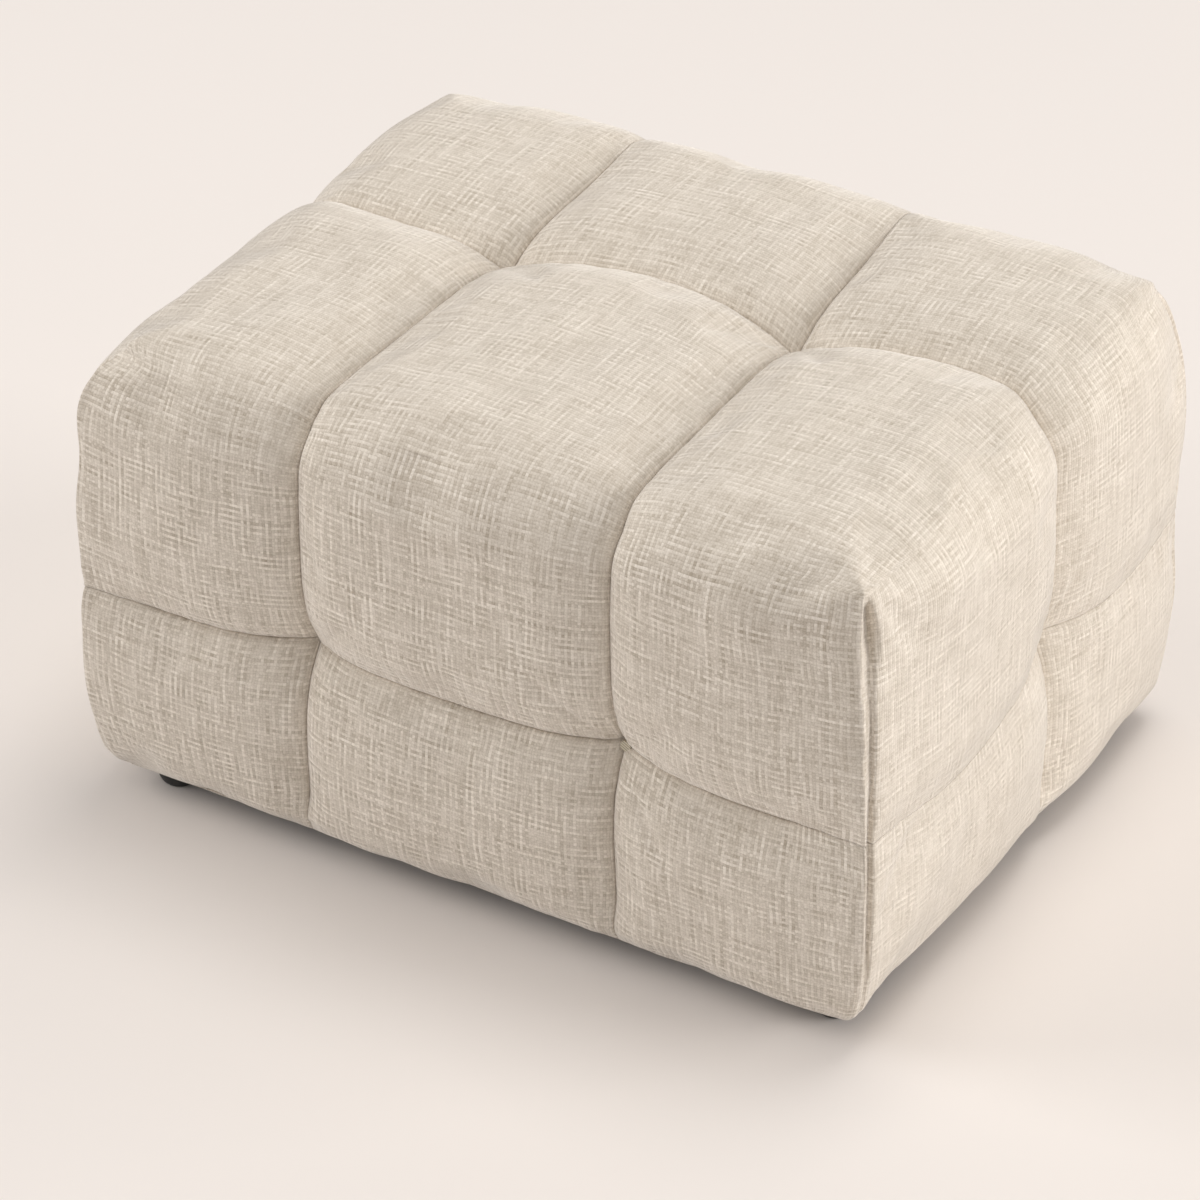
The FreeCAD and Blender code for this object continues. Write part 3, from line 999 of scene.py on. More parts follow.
def weave_group():
    """Plain weave of uneven threads, from the cloth's own coordinates in metres."""
    tree = bpy.data.node_groups.new("Uneven weave", "ShaderNodeTree")
    tree.interface.new_socket(name="Cloth place", in_out="INPUT", socket_type="NodeSocketVector")
    defaults = {"Thread pitch": 0.0022, "Slub length": 0.03, "Waviness": 0.0012, "Net": 0.5, "Knots": 0.2}
    for label, default in defaults.items():
        socket = tree.interface.new_socket(name=label, in_out="INPUT", socket_type="NodeSocketFloat")
        socket.default_value = default
    for label in ("Shade", "Height"):
        tree.interface.new_socket(name=label, in_out="OUTPUT", socket_type="NodeSocketFloat")
    w = Wiring(tree)
    entry = w.add("NodeGroupInput", {})
    pitch = entry["Thread pitch"]
    slub = entry["Slub length"]
    u, v, _ = w.parts(entry["Cloth place"])
    drift_u = w.math("SUBTRACT", w.noise(w.vector(u, v, 3.0), 22.0), 0.5)
    drift_v = w.math("SUBTRACT", w.noise(w.vector(u, v, 9.0), 22.0), 0.5)
    wave = w.math("MULTIPLY", entry["Waviness"], 4.0)
    u = w.math("MULTIPLY_ADD", drift_u, wave, u)
    v = w.math("MULTIPLY_ADD", drift_v, wave, v)
    count_u = w.math("DIVIDE", u, pitch)
    count_v = w.math("DIVIDE", v, pitch)
    warp = w.math("FLOOR", count_u)
    weft = w.math("FLOOR", count_v)
    over = w.math("FLOORED_MODULO", w.math("ADD", warp, weft), 2.0)
    warp_shade = thread_shade(w, warp, v, slub, 0.37)
    weft_shade = thread_shade(w, weft, u, slub, 8.61)
    top_shade = w.blend(over, weft_shade, warp_shade)
    lighter = w.math("MAXIMUM", warp_shade, weft_shade)
    shade = w.blend(entry["Net"], top_shade, lighter)
    crossing = {"Vector": w.vector(warp, weft)}
    knot = w.add("ShaderNodeTexWhiteNoise", crossing, noise_dimensions="2D")["Value"]
    knots = w.math("MULTIPLY", w.math("SUBTRACT", knot, 0.5), entry["Knots"])
    shade = w.math("ADD", shade, knots)
    warp_round = hump(w, count_u)
    weft_round = hump(w, count_v)
    warp_height = thread_height(w, warp_round, weft_round)
    weft_height = thread_height(w, weft_round, warp_round)
    height = w.math("MULTIPLY_ADD", shade, 0.45, w.blend(over, weft_height, warp_height))
    w.add("NodeGroupOutput", {"Shade": shade, "Height": height})
    return tree


def hump(w, count):
    """Round section of a thread: 0 at its sides and 1 along its middle."""
    off = w.math("MULTIPLY_ADD", w.math("FRACT", count), 2.0, -1.0)
    return w.math("SUBTRACT", 1.0, w.math("MULTIPLY", off, off))


def thread_height(w, own, crossing):
    """Height of a thread, lower where it dips beside the thread that crosses it."""
    return w.math("MULTIPLY", w.math("SQRT", own), w.spread(crossing, 0.0, 1.0, 0.35, 1.0))


def thread_shade(w, thread, along, slub, level):
    """Shade of one thread against its neighbour, changing slowly along it."""
    apart = 5.173
    row = w.math("MULTIPLY", thread, apart)
    next_row = w.math("ADD", row, apart)
    step = w.math("DIVIDE", along, slub)
    own = w.noise(w.vector(row, step, level), 1.0, 1.0)
    beside = w.noise(w.vector(next_row, step, level), 1.0, 1.0)
    return w.spread(w.math("SUBTRACT", own, beside), -0.34, 0.34)


def start_material(name):
    """An empty material with its shader's inputs, its wiring and its object coordinates."""
    material = bpy.data.materials.new(name)
    material.use_nodes = True
    material.node_tree.nodes.clear()
    w = Wiring(material.node_tree)
    shader = w.nodes.new("ShaderNodeBsdfPrincipled")
    w.add("ShaderNodeOutputMaterial", {"Surface": shader.outputs[0]})
    body = w.add("ShaderNodeTexCoord", {})["Object"]
    return material, w, shader.inputs, body


def dress(w, surface, base, roughness, height=None, strength=0.0, distance=0.0):
    """Gives a shader its colour and its roughness, and a relief if it has one."""
    w.join(base, surface["Base Color"])
    w.join(roughness, surface["Roughness"])
    if height is not None:
        w.join(w.bump(height, strength, distance), surface["Normal"])


def scaled(rgb, *shares):
    """A colour with its red, green and blue multiplied, none above 1."""
    return tuple(min(part * share, 1) for part, share in zip(rgb, shares)) + (1,)


def linen_material(cloths):
    """Undyed linen with slubs, a soft sheen and a relief of threads, with painted light that lowers the
    threads' contrast on the lit faces and painted shade in the gaps between threads.
    """
    material, w, surface, body = start_material("Cover linen")
    weave = {
        "Cloth place": w.add("ShaderNodeUVMap", {}, uv_map="cloth")[0],
        "Thread pitch": cloths.thread_pitch,
        "Slub length": cloths.slub_length,
        "Net": 0.28,
        "Knots": 0.20,
    }
    threads = w.nodes.new("ShaderNodeGroup")
    threads.node_tree = weave_group()
    for label, value in weave.items():
        w.join(value, threads.inputs[label])
    thread_tone = threads.outputs["Shade"]
    thread_relief = threads.outputs["Height"]
    patches = w.noise(body, 48.0, 4.0)
    fuzz = w.noise(body, 900.0)
    value = w.math("MULTIPLY_ADD", thread_tone, 0.66, -0.02)
    # Painted shade: the thread relief also darkens the colour where the threads dip, in the gaps between
    # them.
    value = w.math("MULTIPLY_ADD", thread_relief, 0.24, value)
    value = w.math("ADD", value, w.spread(fuzz, 0.3, 0.7, -0.16, 0.16))
    # Painted light: the threads' contrast is lowered on the faces turned towards the key and overhead
    # lights.
    value = w.math("MULTIPLY", w.math("SUBTRACT", value, 0.5), painted_light_contrast(w))
    value = w.math("ADD", w.math("ADD", value, 0.5), w.spread(patches, 0.3, 0.7, -0.09, 0.09))
    light = scaled(cloths.linen, 1.25, 1.29, 1.34)
    dark = scaled(cloths.linen, 0.56, 0.53, 0.475)
    surface["Specular IOR Level"].default_value = 0.25
    surface["Sheen Weight"].default_value = 1.0
    surface["Sheen Roughness"].default_value = 0.40
    surface["Sheen Tint"].default_value = (1.0, 0.97, 0.93, 1)
    relief = w.math("MULTIPLY_ADD", fuzz, 0.5, thread_relief)
    dress(w, surface, w.tint(value, dark, light), 0.92, relief, 0.5, 0.0006)
    return material


def painted_light_contrast(w):
    """Contrast of the threads, as painted light: lowered on the faces turned to the right and upwards, where
    the key and overhead lights fall.
    """
    x, _, z = w.parts(w.add("ShaderNodeTexCoord", {})["Normal"])
    lit = w.math("MULTIPLY_ADD", x, 0.70, w.math("MULTIPLY", z, 0.62))
    return w.spread(lit, 0.0, 0.8, 1.10, 0.68)


def dust_cloth_material(cloths):
    """Black spun cloth with pressed dimples."""
    material, w, surface, body = start_material("Dust cloth")
    x, y, _ = w.parts(body)
    waves = [w.math("SINE", w.math("MULTIPLY", place, 1250.0)) for place in (x, y)]
    dimple = w.math("MULTIPLY", *(w.math("ABSOLUTE", wave) for wave in waves))
    fibres = w.noise(body, 420.0, 4.0, 0.7)
    dark = scaled(cloths.dust_cloth, 0.5, 0.5, 0.5)
    pale = scaled(cloths.dust_cloth, 2.2, 2.2, 2.2)
    surface["Sheen Weight"].default_value = 0.2
    height = w.math("MULTIPLY_ADD", fibres, 0.5, dimple)
    dress(w, surface, w.tint(fibres, dark, pale), 0.85, height, 0.5, 0.0003)
    return material


def foam_material():
    """Open-cell foam, pale cream with fine pores, and painted shade darkening each pore."""
    material, w, surface, body = start_material("Foam")
    pores = w.add("ShaderNodeTexVoronoi", {"Scale": 700.0, "Vector": body})
    pore = w.spread(pores["Distance"], 0.0, 0.6)
    # Painted shade: the colour darkens towards the middle of each pore, where its relief is lowest.
    cream = w.tint(pore, (0.42, 0.34, 0.20, 1), (0.80, 0.70, 0.47, 1))
    cloud = w.spread(w.noise(body, 14.0, 3.0), 0.3, 0.7, 0.0, 0.3)
    dress(w, surface, w.tint(cloud, cream, (0.74, 0.66, 0.50, 1)), 0.95, pore, 0.6, 0.0006)
    return material


def wood_material(name, pale, dark, ring_scale, stretch):
    """Sawn wood with rings along one direction."""
    material, w, surface, body = start_material(name)
    stretched = zip(w.parts(body), stretch)
    grain = w.vector(*(w.math("MULTIPLY", place, scale) for place, scale in stretched))
    bend = w.noise(grain, 3.0, 3.0)
    rings = w.math("SINE", w.math("MULTIPLY", bend, ring_scale))
    fibres = w.noise(grain, 60.0, 3.0, 0.65)
    share = w.math("MULTIPLY_ADD", fibres, 0.5, w.spread(rings, -1.0, 1.0, 0.0, 0.6))
    base = w.tint(share, pale + (1,), dark + (1,))
    dress(w, surface, base, w.spread(fibres, 0.3, 0.7, 0.55, 0.75), fibres, 0.3, 0.0004)
    return material


def hardboard_material():
    """Pressed brown fibre board."""
    material, w, surface, body = start_material("Hardboard")
    flakes = w.noise(body, 350.0, 4.0, 0.7)
    cloud = w.noise(body, 9.0)
    share = w.math("MULTIPLY_ADD", cloud, 0.4, w.math("MULTIPLY", flakes, 0.6))
    base = w.tint(share, (0.12, 0.065, 0.03, 1), (0.34, 0.21, 0.11, 1))
    dress(w, surface, base, 0.7, flakes, 0.3, 0.0003)
    return material


def plastic_material():
    """Black moulded plastic with a fine spark-eroded grain."""
    material, w, surface, body = start_material("Foot plastic")
    grain = w.noise(body, 1400.0)
    scuffs = w.noise(body, 90.0, 4.0, 0.7)
    base = w.tint(w.spread(scuffs, 0.5, 0.8), (0.012, 0.012, 0.012, 1), (0.04, 0.039, 0.037, 1))
    dress(w, surface, base, w.spread(scuffs, 0.3, 0.7, 0.38, 0.55), grain, 0.25, 0.0002)
    return material


def cord_material():
    """Twisted waxed cord, with painted shade in the grooves between its strands."""
    material, w, surface, body = start_material("Tie cord")
    x, y, z = w.parts(body)
    sideways = w.math("MULTIPLY", w.math("ADD", x, y), 1500.0)
    twist = w.math("ADD", w.math("MULTIPLY", z, 2600.0), sideways)
    strand = w.spread(w.math("SINE", twist), -1.0, 1.0)
    # Painted shade: the colour is darker in the grooves between the strands, where the relief is lowest.
    base = w.tint(strand, (0.34, 0.30, 0.22, 1), (0.72, 0.67, 0.54, 1))
    dress(w, surface, base, 0.6, strand, 0.5, 0.0003)
    return material


def steel_material():
    """Galvanised wire and screws."""
    material, w, surface, body = start_material("Galvanised steel")
    spangle = w.noise(body, 260.0, 3.0)
    base = w.tint(spangle, (0.42, 0.43, 0.44, 1), (0.66, 0.67, 0.68, 1))
    dress(w, surface, base, w.spread(spangle, 0.3, 0.7, 0.28, 0.45))
    surface["Metallic"].default_value = 1.0
    return material


def floor_material(studio):
    """Matt pale floor with a faint unevenness."""
    material, w, surface, body = start_material("Studio floor")
    cloud = w.noise(body, 2.5)
    darker = scaled(studio.floor, 0.99, 0.99, 0.99)
    dress(w, surface, w.tint(cloud, darker, scaled(studio.floor, 1, 1, 1)), 0.8)
    surface["Specular IOR Level"].default_value = 0.2
    return material


# Sheets under the body


def thin_sheet(name, grid, thickness, material):
    """A closed sheet of cloth from a grid of points on its lower face."""
    rows, columns, _ = grid.shape
    lower = grid.reshape(-1, 3)
    upper = lower + np.array([0, 0, thickness])
    count = len(lower)
    faces = []
    for i in range(rows - 1):
        for j in range(columns - 1):
            a = i * columns + j
            ring = [a, a + 1, a + columns + 1, a + columns]
            faces.append(ring[::-1])
            faces.append([k + count for k in ring])
    numbers = np.arange(count).reshape(rows, columns)
    border = [*numbers[0], *numbers[1:, -1], *numbers[-1, -2::-1], *numbers[-2:0:-1, 0]]
    for k, a in enumerate(border):
        b = border[(k + 1) % len(border)]
        faces.append([a, b, b + count, a + count])
    points = np.concatenate([lower, upper])
    mesh = new_mesh(name, points.tolist(), [], faces)
    layer = mesh.uv_layers.new(name="cloth")
    for loop in mesh.loops:
        layer.data[loop.index].uv = points[loop.vertex_index, :2]
    finish_mesh(mesh, material)
    return add_object(name, mesh)


def make_hem(side, material):
    """The edge of the cover, turned under a base plank and stapled to it."""
    low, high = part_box("hem_" + side)
    axis, sign = SIDES[side]
    half_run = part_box("hem_back")[1][1 - axis]
    inner, outer = sorted((abs(low[axis]), abs(high[axis])))
    width = outer - inner
    clearance = 0.0004
    across = np.linspace(0, 1, 13)
    along = np.linspace(-1, 1, 121)
    grid = np.zeros((len(across), len(along), 3))
    for i, share in enumerate(across):
        run = (half_run - clearance - width * share) * along
        ripple = 0.00018 * np.sin(run * 140 + share * 5) + 0.00012 * np.sin(run * 61 + share * 9)
        fold = 0.0002 if share > 0.8 else 0.0
        grid[i, :, 1 - axis] = run
        grid[i, :, axis] = sign * (outer - width * share)
        grid[i, :, 2] = low.z + 0.00035 + ripple - fold
    if (sign > 0) == (axis == 1):
        grid = grid[:, ::-1]
    hem = thin_sheet("hem_cloth_" + side, grid, 0.0008, material)
    area = width * (2 * half_run - width)
    return hem, (width, 2 * half_run), area


def make_dust_cover(material):
    """The black cloth under the frame, slightly slack between its staples."""
    low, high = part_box("dust_cover")
    x, y = np.meshgrid(np.linspace(low.x, high.x, 97), np.linspace(low.y, high.y, 73))
    slack = (1 - (x / high.x) ** 2) * (1 - (y / high.y) ** 2)
    spots = np.stack([x.ravel(), y.ravel(), np.zeros(x.size)], 1)
    folds = soft_bumps(spots, 31, 0.09).reshape(x.shape)
    z = low.z + 0.0002 - 0.0028 * slack - 0.0006 * slack * folds
    grid = np.stack([x, y, z], 2)
    return thin_sheet("dust_sheet", grid[::-1], 0.0005, material), high.x * 2, high.y * 2


# Feet, and the small parts that the placing tree sets


def lathe(outline, centre, segments=56):
    """Points and faces of a turned form round an upright axis, closed at both poles."""
    points = []
    faces = []
    rings = []
    for radius, height in outline:
        on_axis = radius < 1e-6
        start = len(points)
        for k in range(1 if on_axis else segments):
            turn = 2 * math.pi * k / segments
            reach = 0.0 if on_axis else radius
            points.append((centre[0] + reach * math.cos(turn), centre[1] + reach * math.sin(turn), height))
        rings.append(list(range(start, len(points))))
    for first, second in zip(rings, rings[1:]):
        for k in range(segments):
            n = (k + 1) % segments
            if len(first) == 1:
                faces.append([first[0], second[n], second[k]])
            elif len(second) == 1:
                faces.append([first[k], first[n], second[0]])
            else:
                faces.append([first[k], first[n], second[n], second[k]])
    return points, faces


def make_foot(node, material):
    """A low turned foot with a soft lower edge and a recess for its screw."""
    low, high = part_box(node)
    centre = ((low.x + high.x) / 2, (low.y + high.y) / 2)
    radius = (high.x - low.x) / 2
    height = high.z
    recess_depth = 0.0090
    recess = [
        (0.0, recess_depth),
        (0.0060, recess_depth),
        (0.0068, 0.0086),
        (0.0070, 0.0078),
        (0.0070, 0.0014),
        (0.0073, 0.0005),
        (0.0082, 0.0),
    ]
    flank = [
        (radius - 0.0080, 0.0),
        (radius - 0.0062, 0.0006),
        (radius - 0.0046, 0.0022),
        (radius - 0.0030, 0.0055),
        (radius - 0.0016, 0.0100),
        (radius - 0.0008, height - 0.0040),
        (radius - 0.0012, height - 0.0015),
        (radius - 0.0020, height - 0.0004),
        (radius - 0.0034, height),
        (0.0, height),
    ]
    points, faces = lathe(recess + flank, centre)
    mesh = new_mesh(node + "_turned", points, [], faces)
    finish_mesh(mesh, material)
    return add_object(node + "_turned", mesh)


def make_staple():
    """One staple: a crown and two short legs, as a source for the tree that places them."""
    wire = 0.0005
    half_crown = 0.0050
    leg = 0.0035
    bend = 0.0006
    half_path = [(-half_crown, 0, leg), (-half_crown, 0, bend), (-half_crown + bend, 0, 0)]
    path = half_path + [(-x, y, z) for x, y, z in reversed(half_path)]
    mesh = bmesh.new()
    rings = []
    for k, centre in enumerate(path):
        before = Vector(path[max(k - 1, 0)])
        after = Vector(path[min(k + 1, len(path) - 1)])
        tangent = (after - before).normalized()
        side = tangent.cross(Vector((0, 1, 0)))
        ring = []
        for a, b in ((1, 1), (-1, 1), (-1, -1), (1, -1)):
            ring.append(mesh.verts.new(Vector(centre) + side * a * wire * 0.5 + Vector((0, b * wire, 0))))
        rings.append(ring)
    for first, second in zip(rings, rings[1:]):
        for k in range(4):
            n = (k + 1) % 4
            mesh.faces.new([first[k], first[n], second[n], second[k]])
    mesh.faces.new(rings[0][::-1])
    mesh.faces.new(rings[-1])
    return source_object("staple_source", mesh)


def make_screw_head():
    """A pan head with a cross recess, as a source for the tree that places it."""
    recess = [(0.0, -0.0019), (0.0010, -0.0019), (0.0014, -0.0028)]
    head = [(0.0030, -0.0025), (0.0041, -0.0017), (0.0045, -0.0006), (0.0045, 0.0)]
    shank = [(0.0022, 0.0), (0.0022, 0.0120), (0.0, 0.0120)]
    points, faces = lathe(recess + head + shank, (0, 0), 24)
    mesh = bmesh.new()
    verts = [mesh.verts.new(point) for point in points]
    for ring in faces:
        mesh.faces.new([verts[k] for k in ring])
    for vert in verts:
        turn = math.atan2(vert.co.y, vert.co.x)
        flat = math.hypot(vert.co.x, vert.co.y)
        if vert.co.z < -0.001 and 0.0005 < flat < 0.0020:
            lobe = 0.5 + 0.5 * math.cos(4 * turn)
            scale = (0.0007 + 0.0013 * lobe) / flat
            vert.co.x *= scale
            vert.co.y *= scale
    return source_object("screw_source", mesh)


def source_object(name, mesh):
    """Turns a bmesh into an object that a geometry tree can place."""
    bmesh.ops.recalc_face_normals(mesh, faces=mesh.faces)
    return add_object(name, mesh_from(name, mesh))


def placing_tree():
    """Geometry nodes that set copies of a small part along a path, a fixed distance apart."""
    name = "Set along path"
    if name in bpy.data.node_groups:
        return bpy.data.node_groups[name]
    tree = bpy.data.node_groups.new(name, "GeometryNodeTree")
    inputs = {
        "Path": "Geometry",
        "Part": "Object",
        "Spacing": "Float",
        "Turn": "Float",
        "Seed": "Int",
        "Material": "Material",
    }
    for label, kind in inputs.items():
        tree.interface.new_socket(name=label, in_out="INPUT", socket_type="NodeSocket" + kind)
    tree.interface.new_socket(name="Parts", in_out="OUTPUT", socket_type="NodeSocketGeometry")
    w = Wiring(tree)
    entry = w.add("NodeGroupInput", {})
    curve = w.add("GeometryNodeMeshToCurve", {"Mesh": entry["Path"]})["Curve"]
    spaced = {"Curve": curve, "Length": entry["Spacing"]}
    even = w.add("GeometryNodeResampleCurve", spaced, mode="LENGTH")["Curve"]
    tangent = w.add("GeometryNodeInputTangent", {})[0]
    align = w.add("FunctionNodeAlignRotationToVector", {"Vector": tangent}, axis="X", pivot_axis="Z")[0]
    chance = w.nodes.new("FunctionNodeRandomValue")
    chance.data_type = "FLOAT"
    w.join(w.math("MULTIPLY", entry["Turn"], -1.0), chance.inputs["Min"])
    w.join(entry["Turn"], chance.inputs["Max"])
    w.join(entry["Seed"], chance.inputs["Seed"])
    skew = [socket for socket in chance.outputs if socket.type == "VALUE"][0]
    skew_turn = w.add("FunctionNodeEulerToRotation", {0: w.vector(0.0, 0.0, skew)})[0]
    rotation = w.add("FunctionNodeRotateRotation", {0: align, 1: skew_turn})[0]
    part = w.add("GeometryNodeObjectInfo", {"Object": entry["Part"]})["Geometry"]
    set_out = {"Points": even, "Instance": part, "Rotation": rotation}
    placed = w.add("GeometryNodeInstanceOnPoints", set_out)["Instances"]
    real = w.add("GeometryNodeRealizeInstances", {0: placed})[0]
    painted = w.add("GeometryNodeSetMaterial", {"Geometry": real, "Material": entry["Material"]})[0]
    w.add("NodeGroupOutput", {"Parts": painted})
    return tree


def set_along(name, corners, edges, part, spacing, turn, seed, material):
    """A plain mesh of parts set along a path by the placing tree."""
    obj = add_object(name, new_mesh(name, corners, edges, []))
    tree = placing_tree()
    modifier = obj.modifiers.new("Placing", "NODES")
    modifier.node_group = tree
    values = {"Part": part, "Spacing": spacing, "Turn": turn, "Seed": seed, "Material": material}
    for item in tree.interface.items_tree:
        if item.in_out == "INPUT" and item.name in values:
            modifier[item.identifier] = values[item.name]
    obj.update_tag()
    bpy.context.view_layer.update()
    apply_modifiers(obj)
    if not obj.data.polygons:
        raise RuntimeError(name + " has no faces")
    bpy.data.objects.remove(part)
    return obj


# Inner pieces


def make_foam(node, material):
    """A foam slab with its cut edges slightly softened."""
    mesh = bmesh.new()
    mesh.from_mesh(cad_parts[node].data)
    bmesh.ops.remove_doubles(mesh, verts=mesh.verts, dist=1e-5)
    bmesh.ops.dissolve_limit(mesh, angle_limit=0.01, verts=mesh.verts, edges=mesh.edges)
    data = mesh_from(node + "_slab", mesh)
    data.materials.clear()
    data.materials.append(material)
    slab = add_object(node + "_slab", data)
    bevel = slab.modifiers.new("Soft edges", "BEVEL")
    bevel.width = 0.002
    bevel.segments = 2
    bevel.limit_method = "ANGLE"
    apply_modifiers(slab)
    return slab


def paint_node(node, material):
    """Gives a carried-over solid its material."""
    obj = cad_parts[node]
    if not obj.material_slots:
        raise RuntimeError(node + " has no material slot")
    for slot in obj.material_slots:
        slot.link = "OBJECT"
        slot.material = material


# Operators


def stand_in(obj, node):
    """Hangs a piece on the root body and hides the imported node that it stands for."""
    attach(obj, "root")
    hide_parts(node)


class POUF_OT_upper_cells(bpy.types.Operator):
    """Make the six upper cells, which cover the top and run down the walls"""

    bl_idname = "pouf.upper_cells"
    bl_label = "Upper cells"

    def execute(self, context):
        sizes = context.scene.pouf_cover
        material = linen_material(context.scene.pouf_cloths)
        for side in ("front", "back"):
            for column in COLUMNS:
                cell = make_upper_cell(side, column, sizes, material)
                subdivide(cell)
                stand_in(cell, "pad_top_" + side + "_" + column)
        return {"FINISHED"}


# Each lower cell's wall and place, and what its first and last ends meet
LOWER_CELLS = (
    ("front", "left", "corner", "left_seam"),
    ("front", "middle", "left_seam", "right_seam"),
    ("front", "right", "right_seam", "corner"),
    ("back", "left", "corner", "left_seam"),
    ("back", "middle", "left_seam", "right_seam"),
    ("back", "right", "right_seam", "corner"),
    ("left", "front", "corner", "seam"),
    ("left", "back", "seam", "corner"),
    ("right", "front", "corner", "seam"),
    ("right", "back", "seam", "corner"),
)


class POUF_OT_lower_cells(bpy.types.Operator):
    """Make the ten lower cells, from the level seam to the turned-in edge"""

    bl_idname = "pouf.lower_cells"
    bl_label = "Lower cells"

    def execute(self, context):
        sizes = context.scene.pouf_cover
        material = bpy.data.materials["Cover linen"]
        for side, name_end, first, last in LOWER_CELLS:
            cell = make_lower_cell(side, name_end, first, last, sizes, material)
            subdivide(cell)
            stand_in(cell, "pad_low_" + side + "_" + name_end)
        return {"FINISHED"}


class POUF_OT_hems(bpy.types.Operator):
    """Make the cover's turned-in edges under the base planks"""

    bl_idname = "pouf.hems"
    bl_label = "Hems"

    def execute(self, context):
        material = bpy.data.materials["Cover linen"]
        for side in SIDES:
            hem, flat, area = make_hem(side, material)
            stand_in(hem, "hem_" + side)
        return {"FINISHED"}


class POUF_OT_dust_cover(bpy.types.Operator):
    """Make the black dust cover under the frame"""

    bl_idname = "pouf.dust_cover"
    bl_label = "Dust cover"

    def execute(self, context):
        sheet, length_x, length_y = make_dust_cover(dust_cloth_material(context.scene.pouf_cloths))
        stand_in(sheet, "dust_cover")
        return {"FINISHED"}


class POUF_OT_staples(bpy.types.Operator):
    """Set the staples that hold the dust cover along its edges"""

    bl_idname = "pouf.staples"
    bl_label = "Staples"

    def execute(self, context):
        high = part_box("dust_cover")[1]
        inset = 0.009
        spacing = 0.046
        x, y, z = high.x - inset, high.y - inset, underside - 0.0002
        corners = [(-x, -y, z), (x, -y, z), (x, y, z), (-x, y, z)]
        edges = [(0, 1), (1, 2), (2, 3), (3, 0)]
        staples = set_along("staples", corners, edges, make_staple(), spacing, 0.16, 5, steel_material())
        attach(staples, "root")
        return {"FINISHED"}


FEET = ("foot_front_left", "foot_front_right", "foot_back_left", "foot_back_right")


class POUF_OT_feet(bpy.types.Operator):
    """Make the four low black feet"""

    bl_idname = "pouf.feet"
    bl_label = "Feet"

    def execute(self, context):
        material = plastic_material()
        for node in FEET:
            foot = make_foot(node, material)
            stand_in(foot, node)
        return {"FINISHED"}


class POUF_OT_foot_screws(bpy.types.Operator):
    """Set a screw in the recess of each foot"""

    bl_idname = "pouf.foot_screws"
    bl_label = "Foot screws"

    def execute(self, context):
        height = 0.0089
        half_edge = 0.0005
        corners = []
        for node in FEET:
            low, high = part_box(node)
            x, y = (low.x + high.x) / 2, (low.y + high.y) / 2
            corners += [(x - half_edge, y, height), (x + half_edge, y, height)]
        edges = [(0, 1), (2, 3), (4, 5), (6, 7)]
        steel = bpy.data.materials["Galvanised steel"]
        screws = set_along("foot_screws", corners, edges, make_screw_head(), 0.01, 0.7, 9, steel)
        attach(screws, "root")
        return {"FINISHED"}


class POUF_OT_foams(bpy.types.Operator):
    """Make the foam slabs under the cells"""

    bl_idname = "pouf.foams"
    bl_label = "Foam slabs"

    def execute(self, context):
        material = foam_material()
        for node in ("foam_front", "foam_back", "foam_left", "foam_right", "foam_seat"):
            slab = make_foam(node, material)
            stand_in(slab, node)
        return {"FINISHED"}


class POUF_OT_frame_finishes(bpy.types.Operator):
    """Give the timber, the boards and the ties their finishes"""

    bl_idname = "pouf.frame_finishes"
    bl_label = "Frame finishes"

    def execute(self, context):
        pale = (0.70, 0.50, 0.29)
        dark = (0.42, 0.25, 0.12)
        along_x = wood_material("Timber along", pale, dark, 26.0, (1.0, 9.0, 9.0))
        along_y = wood_material("Timber across", pale, dark, 26.0, (9.0, 1.0, 9.0))
        upright = wood_material("Timber upright", pale, dark, 26.0, (9.0, 9.0, 1.0))
        plywood = wood_material("Plywood", (0.76, 0.59, 0.38), (0.55, 0.38, 0.21), 12.0, (0.8, 5.0, 20.0))
        board = hardboard_material()
        for side, (axis, _) in SIDES.items():
            grain = along_x if axis == 1 else along_y
            paint_node("base_plank_" + side, grain)
            paint_node("top_rail_" + side, grain)
            paint_node("panel_" + side, board)
        for side in ("front", "back"):
            for end in ("left", "right"):
                paint_node("post_" + side + "_" + end, upright)
        paint_node("seat_stretcher", along_y)
        paint_node("seat_board", plywood)
        paint_node("tuft_ties", cord_material())
        return {"FINISHED"}


class POUF_OT_stage(bpy.types.Operator):
    """Make the floor, the light and the camera"""

    bl_idname = "pouf.stage"
    bl_label = "Floor, light and camera"

    def execute(self, context):
        studio = context.scene.pouf_studio
        make_floor(studio)
        make_lights(studio)
        make_camera()
        return {"FINISHED"}


def make_floor(studio):
    """A wide floor that fills the view."""
    reach = 14.0
    corners = [(-reach, -reach, 0), (reach, -reach, 0), (reach, reach, 0), (-reach, reach, 0)]
    mesh = new_mesh("floor", corners, [], [(0, 1, 2, 3)])
    mesh.materials.append(floor_material(studio))
    add_object("floor", mesh)


def make_lights(studio):
    """Three large soft lights, at the right, at the left and overhead, and even light all round."""
    world = bpy.data.worlds.new("Room")
    world.use_nodes = True
    background = world.node_tree.nodes["Background"]
    background.inputs["Color"].default_value = (1.0, 0.965, 0.94, 1)
    background.inputs["Strength"].default_value = studio.sky_strength
    bpy.context.scene.world = world
    soft_light("Key", (6.3, 2.9, 1.5), (4.2, 2.4), studio.key_power)
    soft_light("Fill", (-5.0, -2.2, 3.0), (3.6, 3.0), studio.fill_power)
    soft_light("Overhead", (0.6, 1.2, 6.0), (2.6, 2.6), studio.top_power)


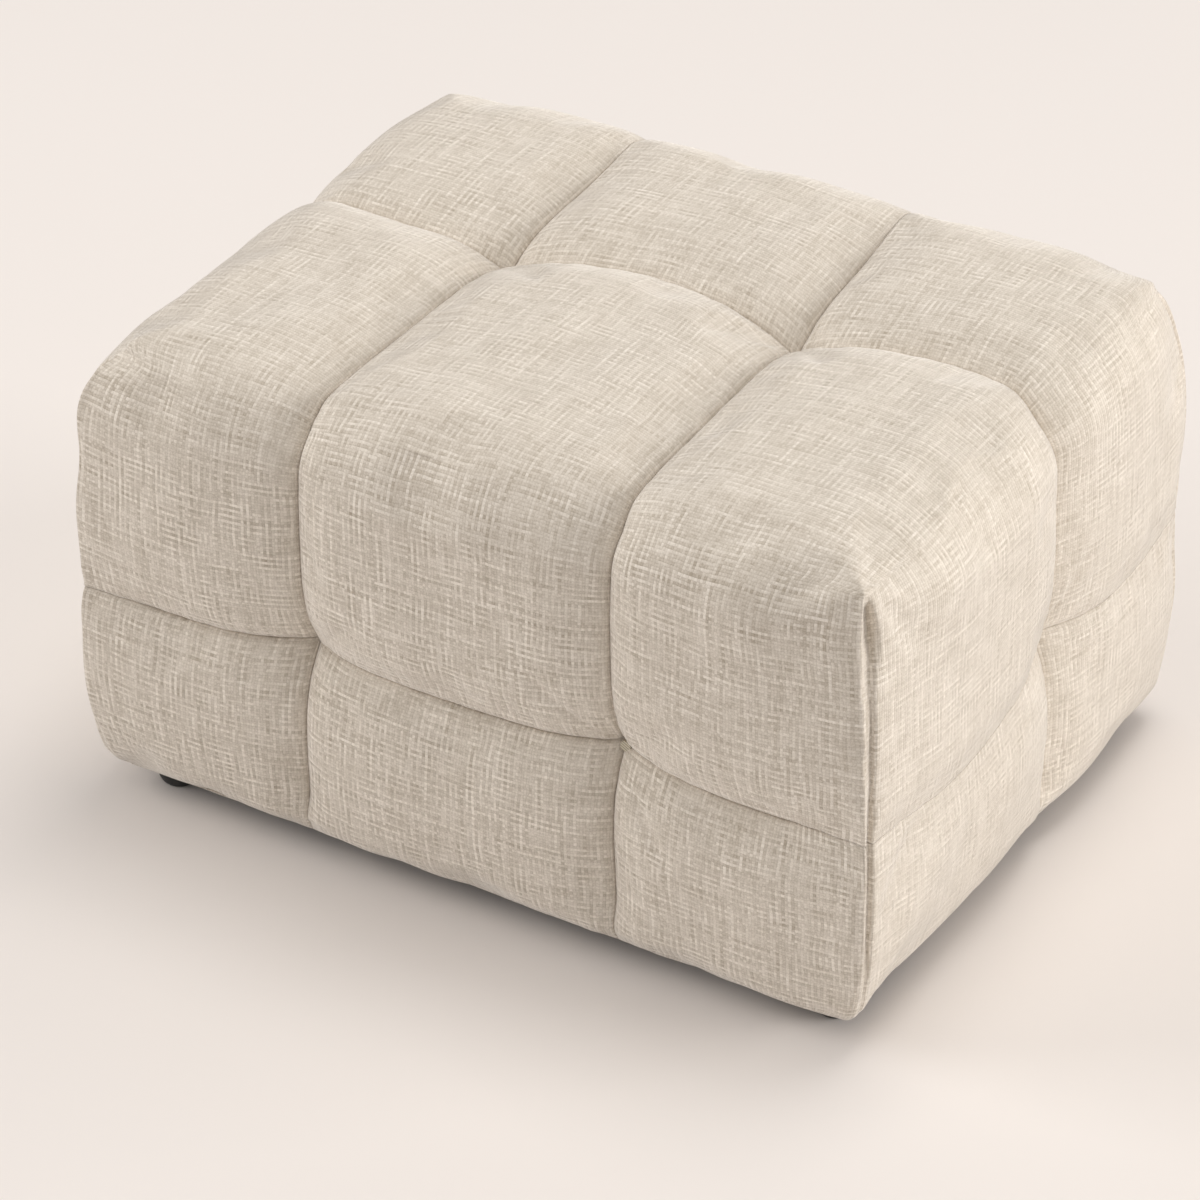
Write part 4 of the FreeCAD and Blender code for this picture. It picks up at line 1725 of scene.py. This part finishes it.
def soft_light(name, place, size, watts):
    """A rectangular soft light that looks at the pouf."""
    data = bpy.data.lights.new(name, "AREA")
    data.shape = "RECTANGLE"
    data.size, data.size_y = size
    data.energy = watts
    data.color = (1.0, 0.965, 0.92)
    lamp = add_object(name, data)
    lamp.location = place
    aim = Vector((0, 0, 0.2)) - Vector(place)
    lamp.rotation_mode = "QUATERNION"
    lamp.rotation_quaternion = aim.to_track_quat("-Z", "Y")


def make_camera():
    """The camera at the photograph's angle."""
    data = bpy.data.cameras.new("Camera")
    data.sensor_width = 36.0
    data.lens = 150.53
    data.clip_end = 60.0
    place = (1.6988, -2.8790, 2.3517)
    heading = Matrix.Rotation(0.5421, 4, "Z")
    tilt = Matrix.Rotation(0.9876, 4, "X")
    roll = Matrix.Rotation(-0.0109, 4, "Z")
    camera = add_object("Camera", data)
    camera.matrix_world = Matrix.Translation(place) @ (heading @ tilt @ roll)
    bpy.context.scene.camera = camera
    bpy.context.scene.view_settings.view_transform = "Standard"


class POUF_PT_panel(bpy.types.Panel):
    """The parts of the pouf, in the order in which they are made"""

    bl_label = "Pouf"
    bl_idname = "POUF_PT_panel"
    bl_space_type = "VIEW_3D"
    bl_region_type = "UI"
    bl_category = "Pouf"

    def draw(self, context):
        for operator in OPERATORS:
            self.layout.operator(operator.bl_idname)


OPERATORS = (
    POUF_OT_upper_cells,
    POUF_OT_lower_cells,
    POUF_OT_hems,
    POUF_OT_dust_cover,
    POUF_OT_staples,
    POUF_OT_feet,
    POUF_OT_foot_screws,
    POUF_OT_foams,
    POUF_OT_frame_finishes,
    POUF_OT_stage,
)
GROUPS = (
    ("pouf_cover", CoverSizes),
    ("pouf_cloths", ClothColours),
    ("pouf_studio", StudioLight),
)


def register():
    for name, group in GROUPS:
        bpy.utils.register_class(group)
        setattr(bpy.types.Scene, name, PointerProperty(type=group))
    for operator in OPERATORS:
        bpy.utils.register_class(operator)
    bpy.utils.register_class(POUF_PT_panel)


def unregister():
    bpy.utils.unregister_class(POUF_PT_panel)
    for operator in reversed(OPERATORS):
        bpy.utils.unregister_class(operator)
    for name, group in reversed(GROUPS):
        delattr(bpy.types.Scene, name)
        bpy.utils.unregister_class(group)


def main():
    register()
    bpy.ops.pouf.upper_cells()
    bpy.ops.pouf.lower_cells()
    bpy.ops.pouf.hems()
    bpy.ops.pouf.dust_cover()
    bpy.ops.pouf.staples()
    bpy.ops.pouf.feet()
    bpy.ops.pouf.foot_screws()
    bpy.ops.pouf.foams()
    bpy.ops.pouf.frame_finishes()
    bpy.ops.pouf.stage()


if __name__ == "__main__":
    main()
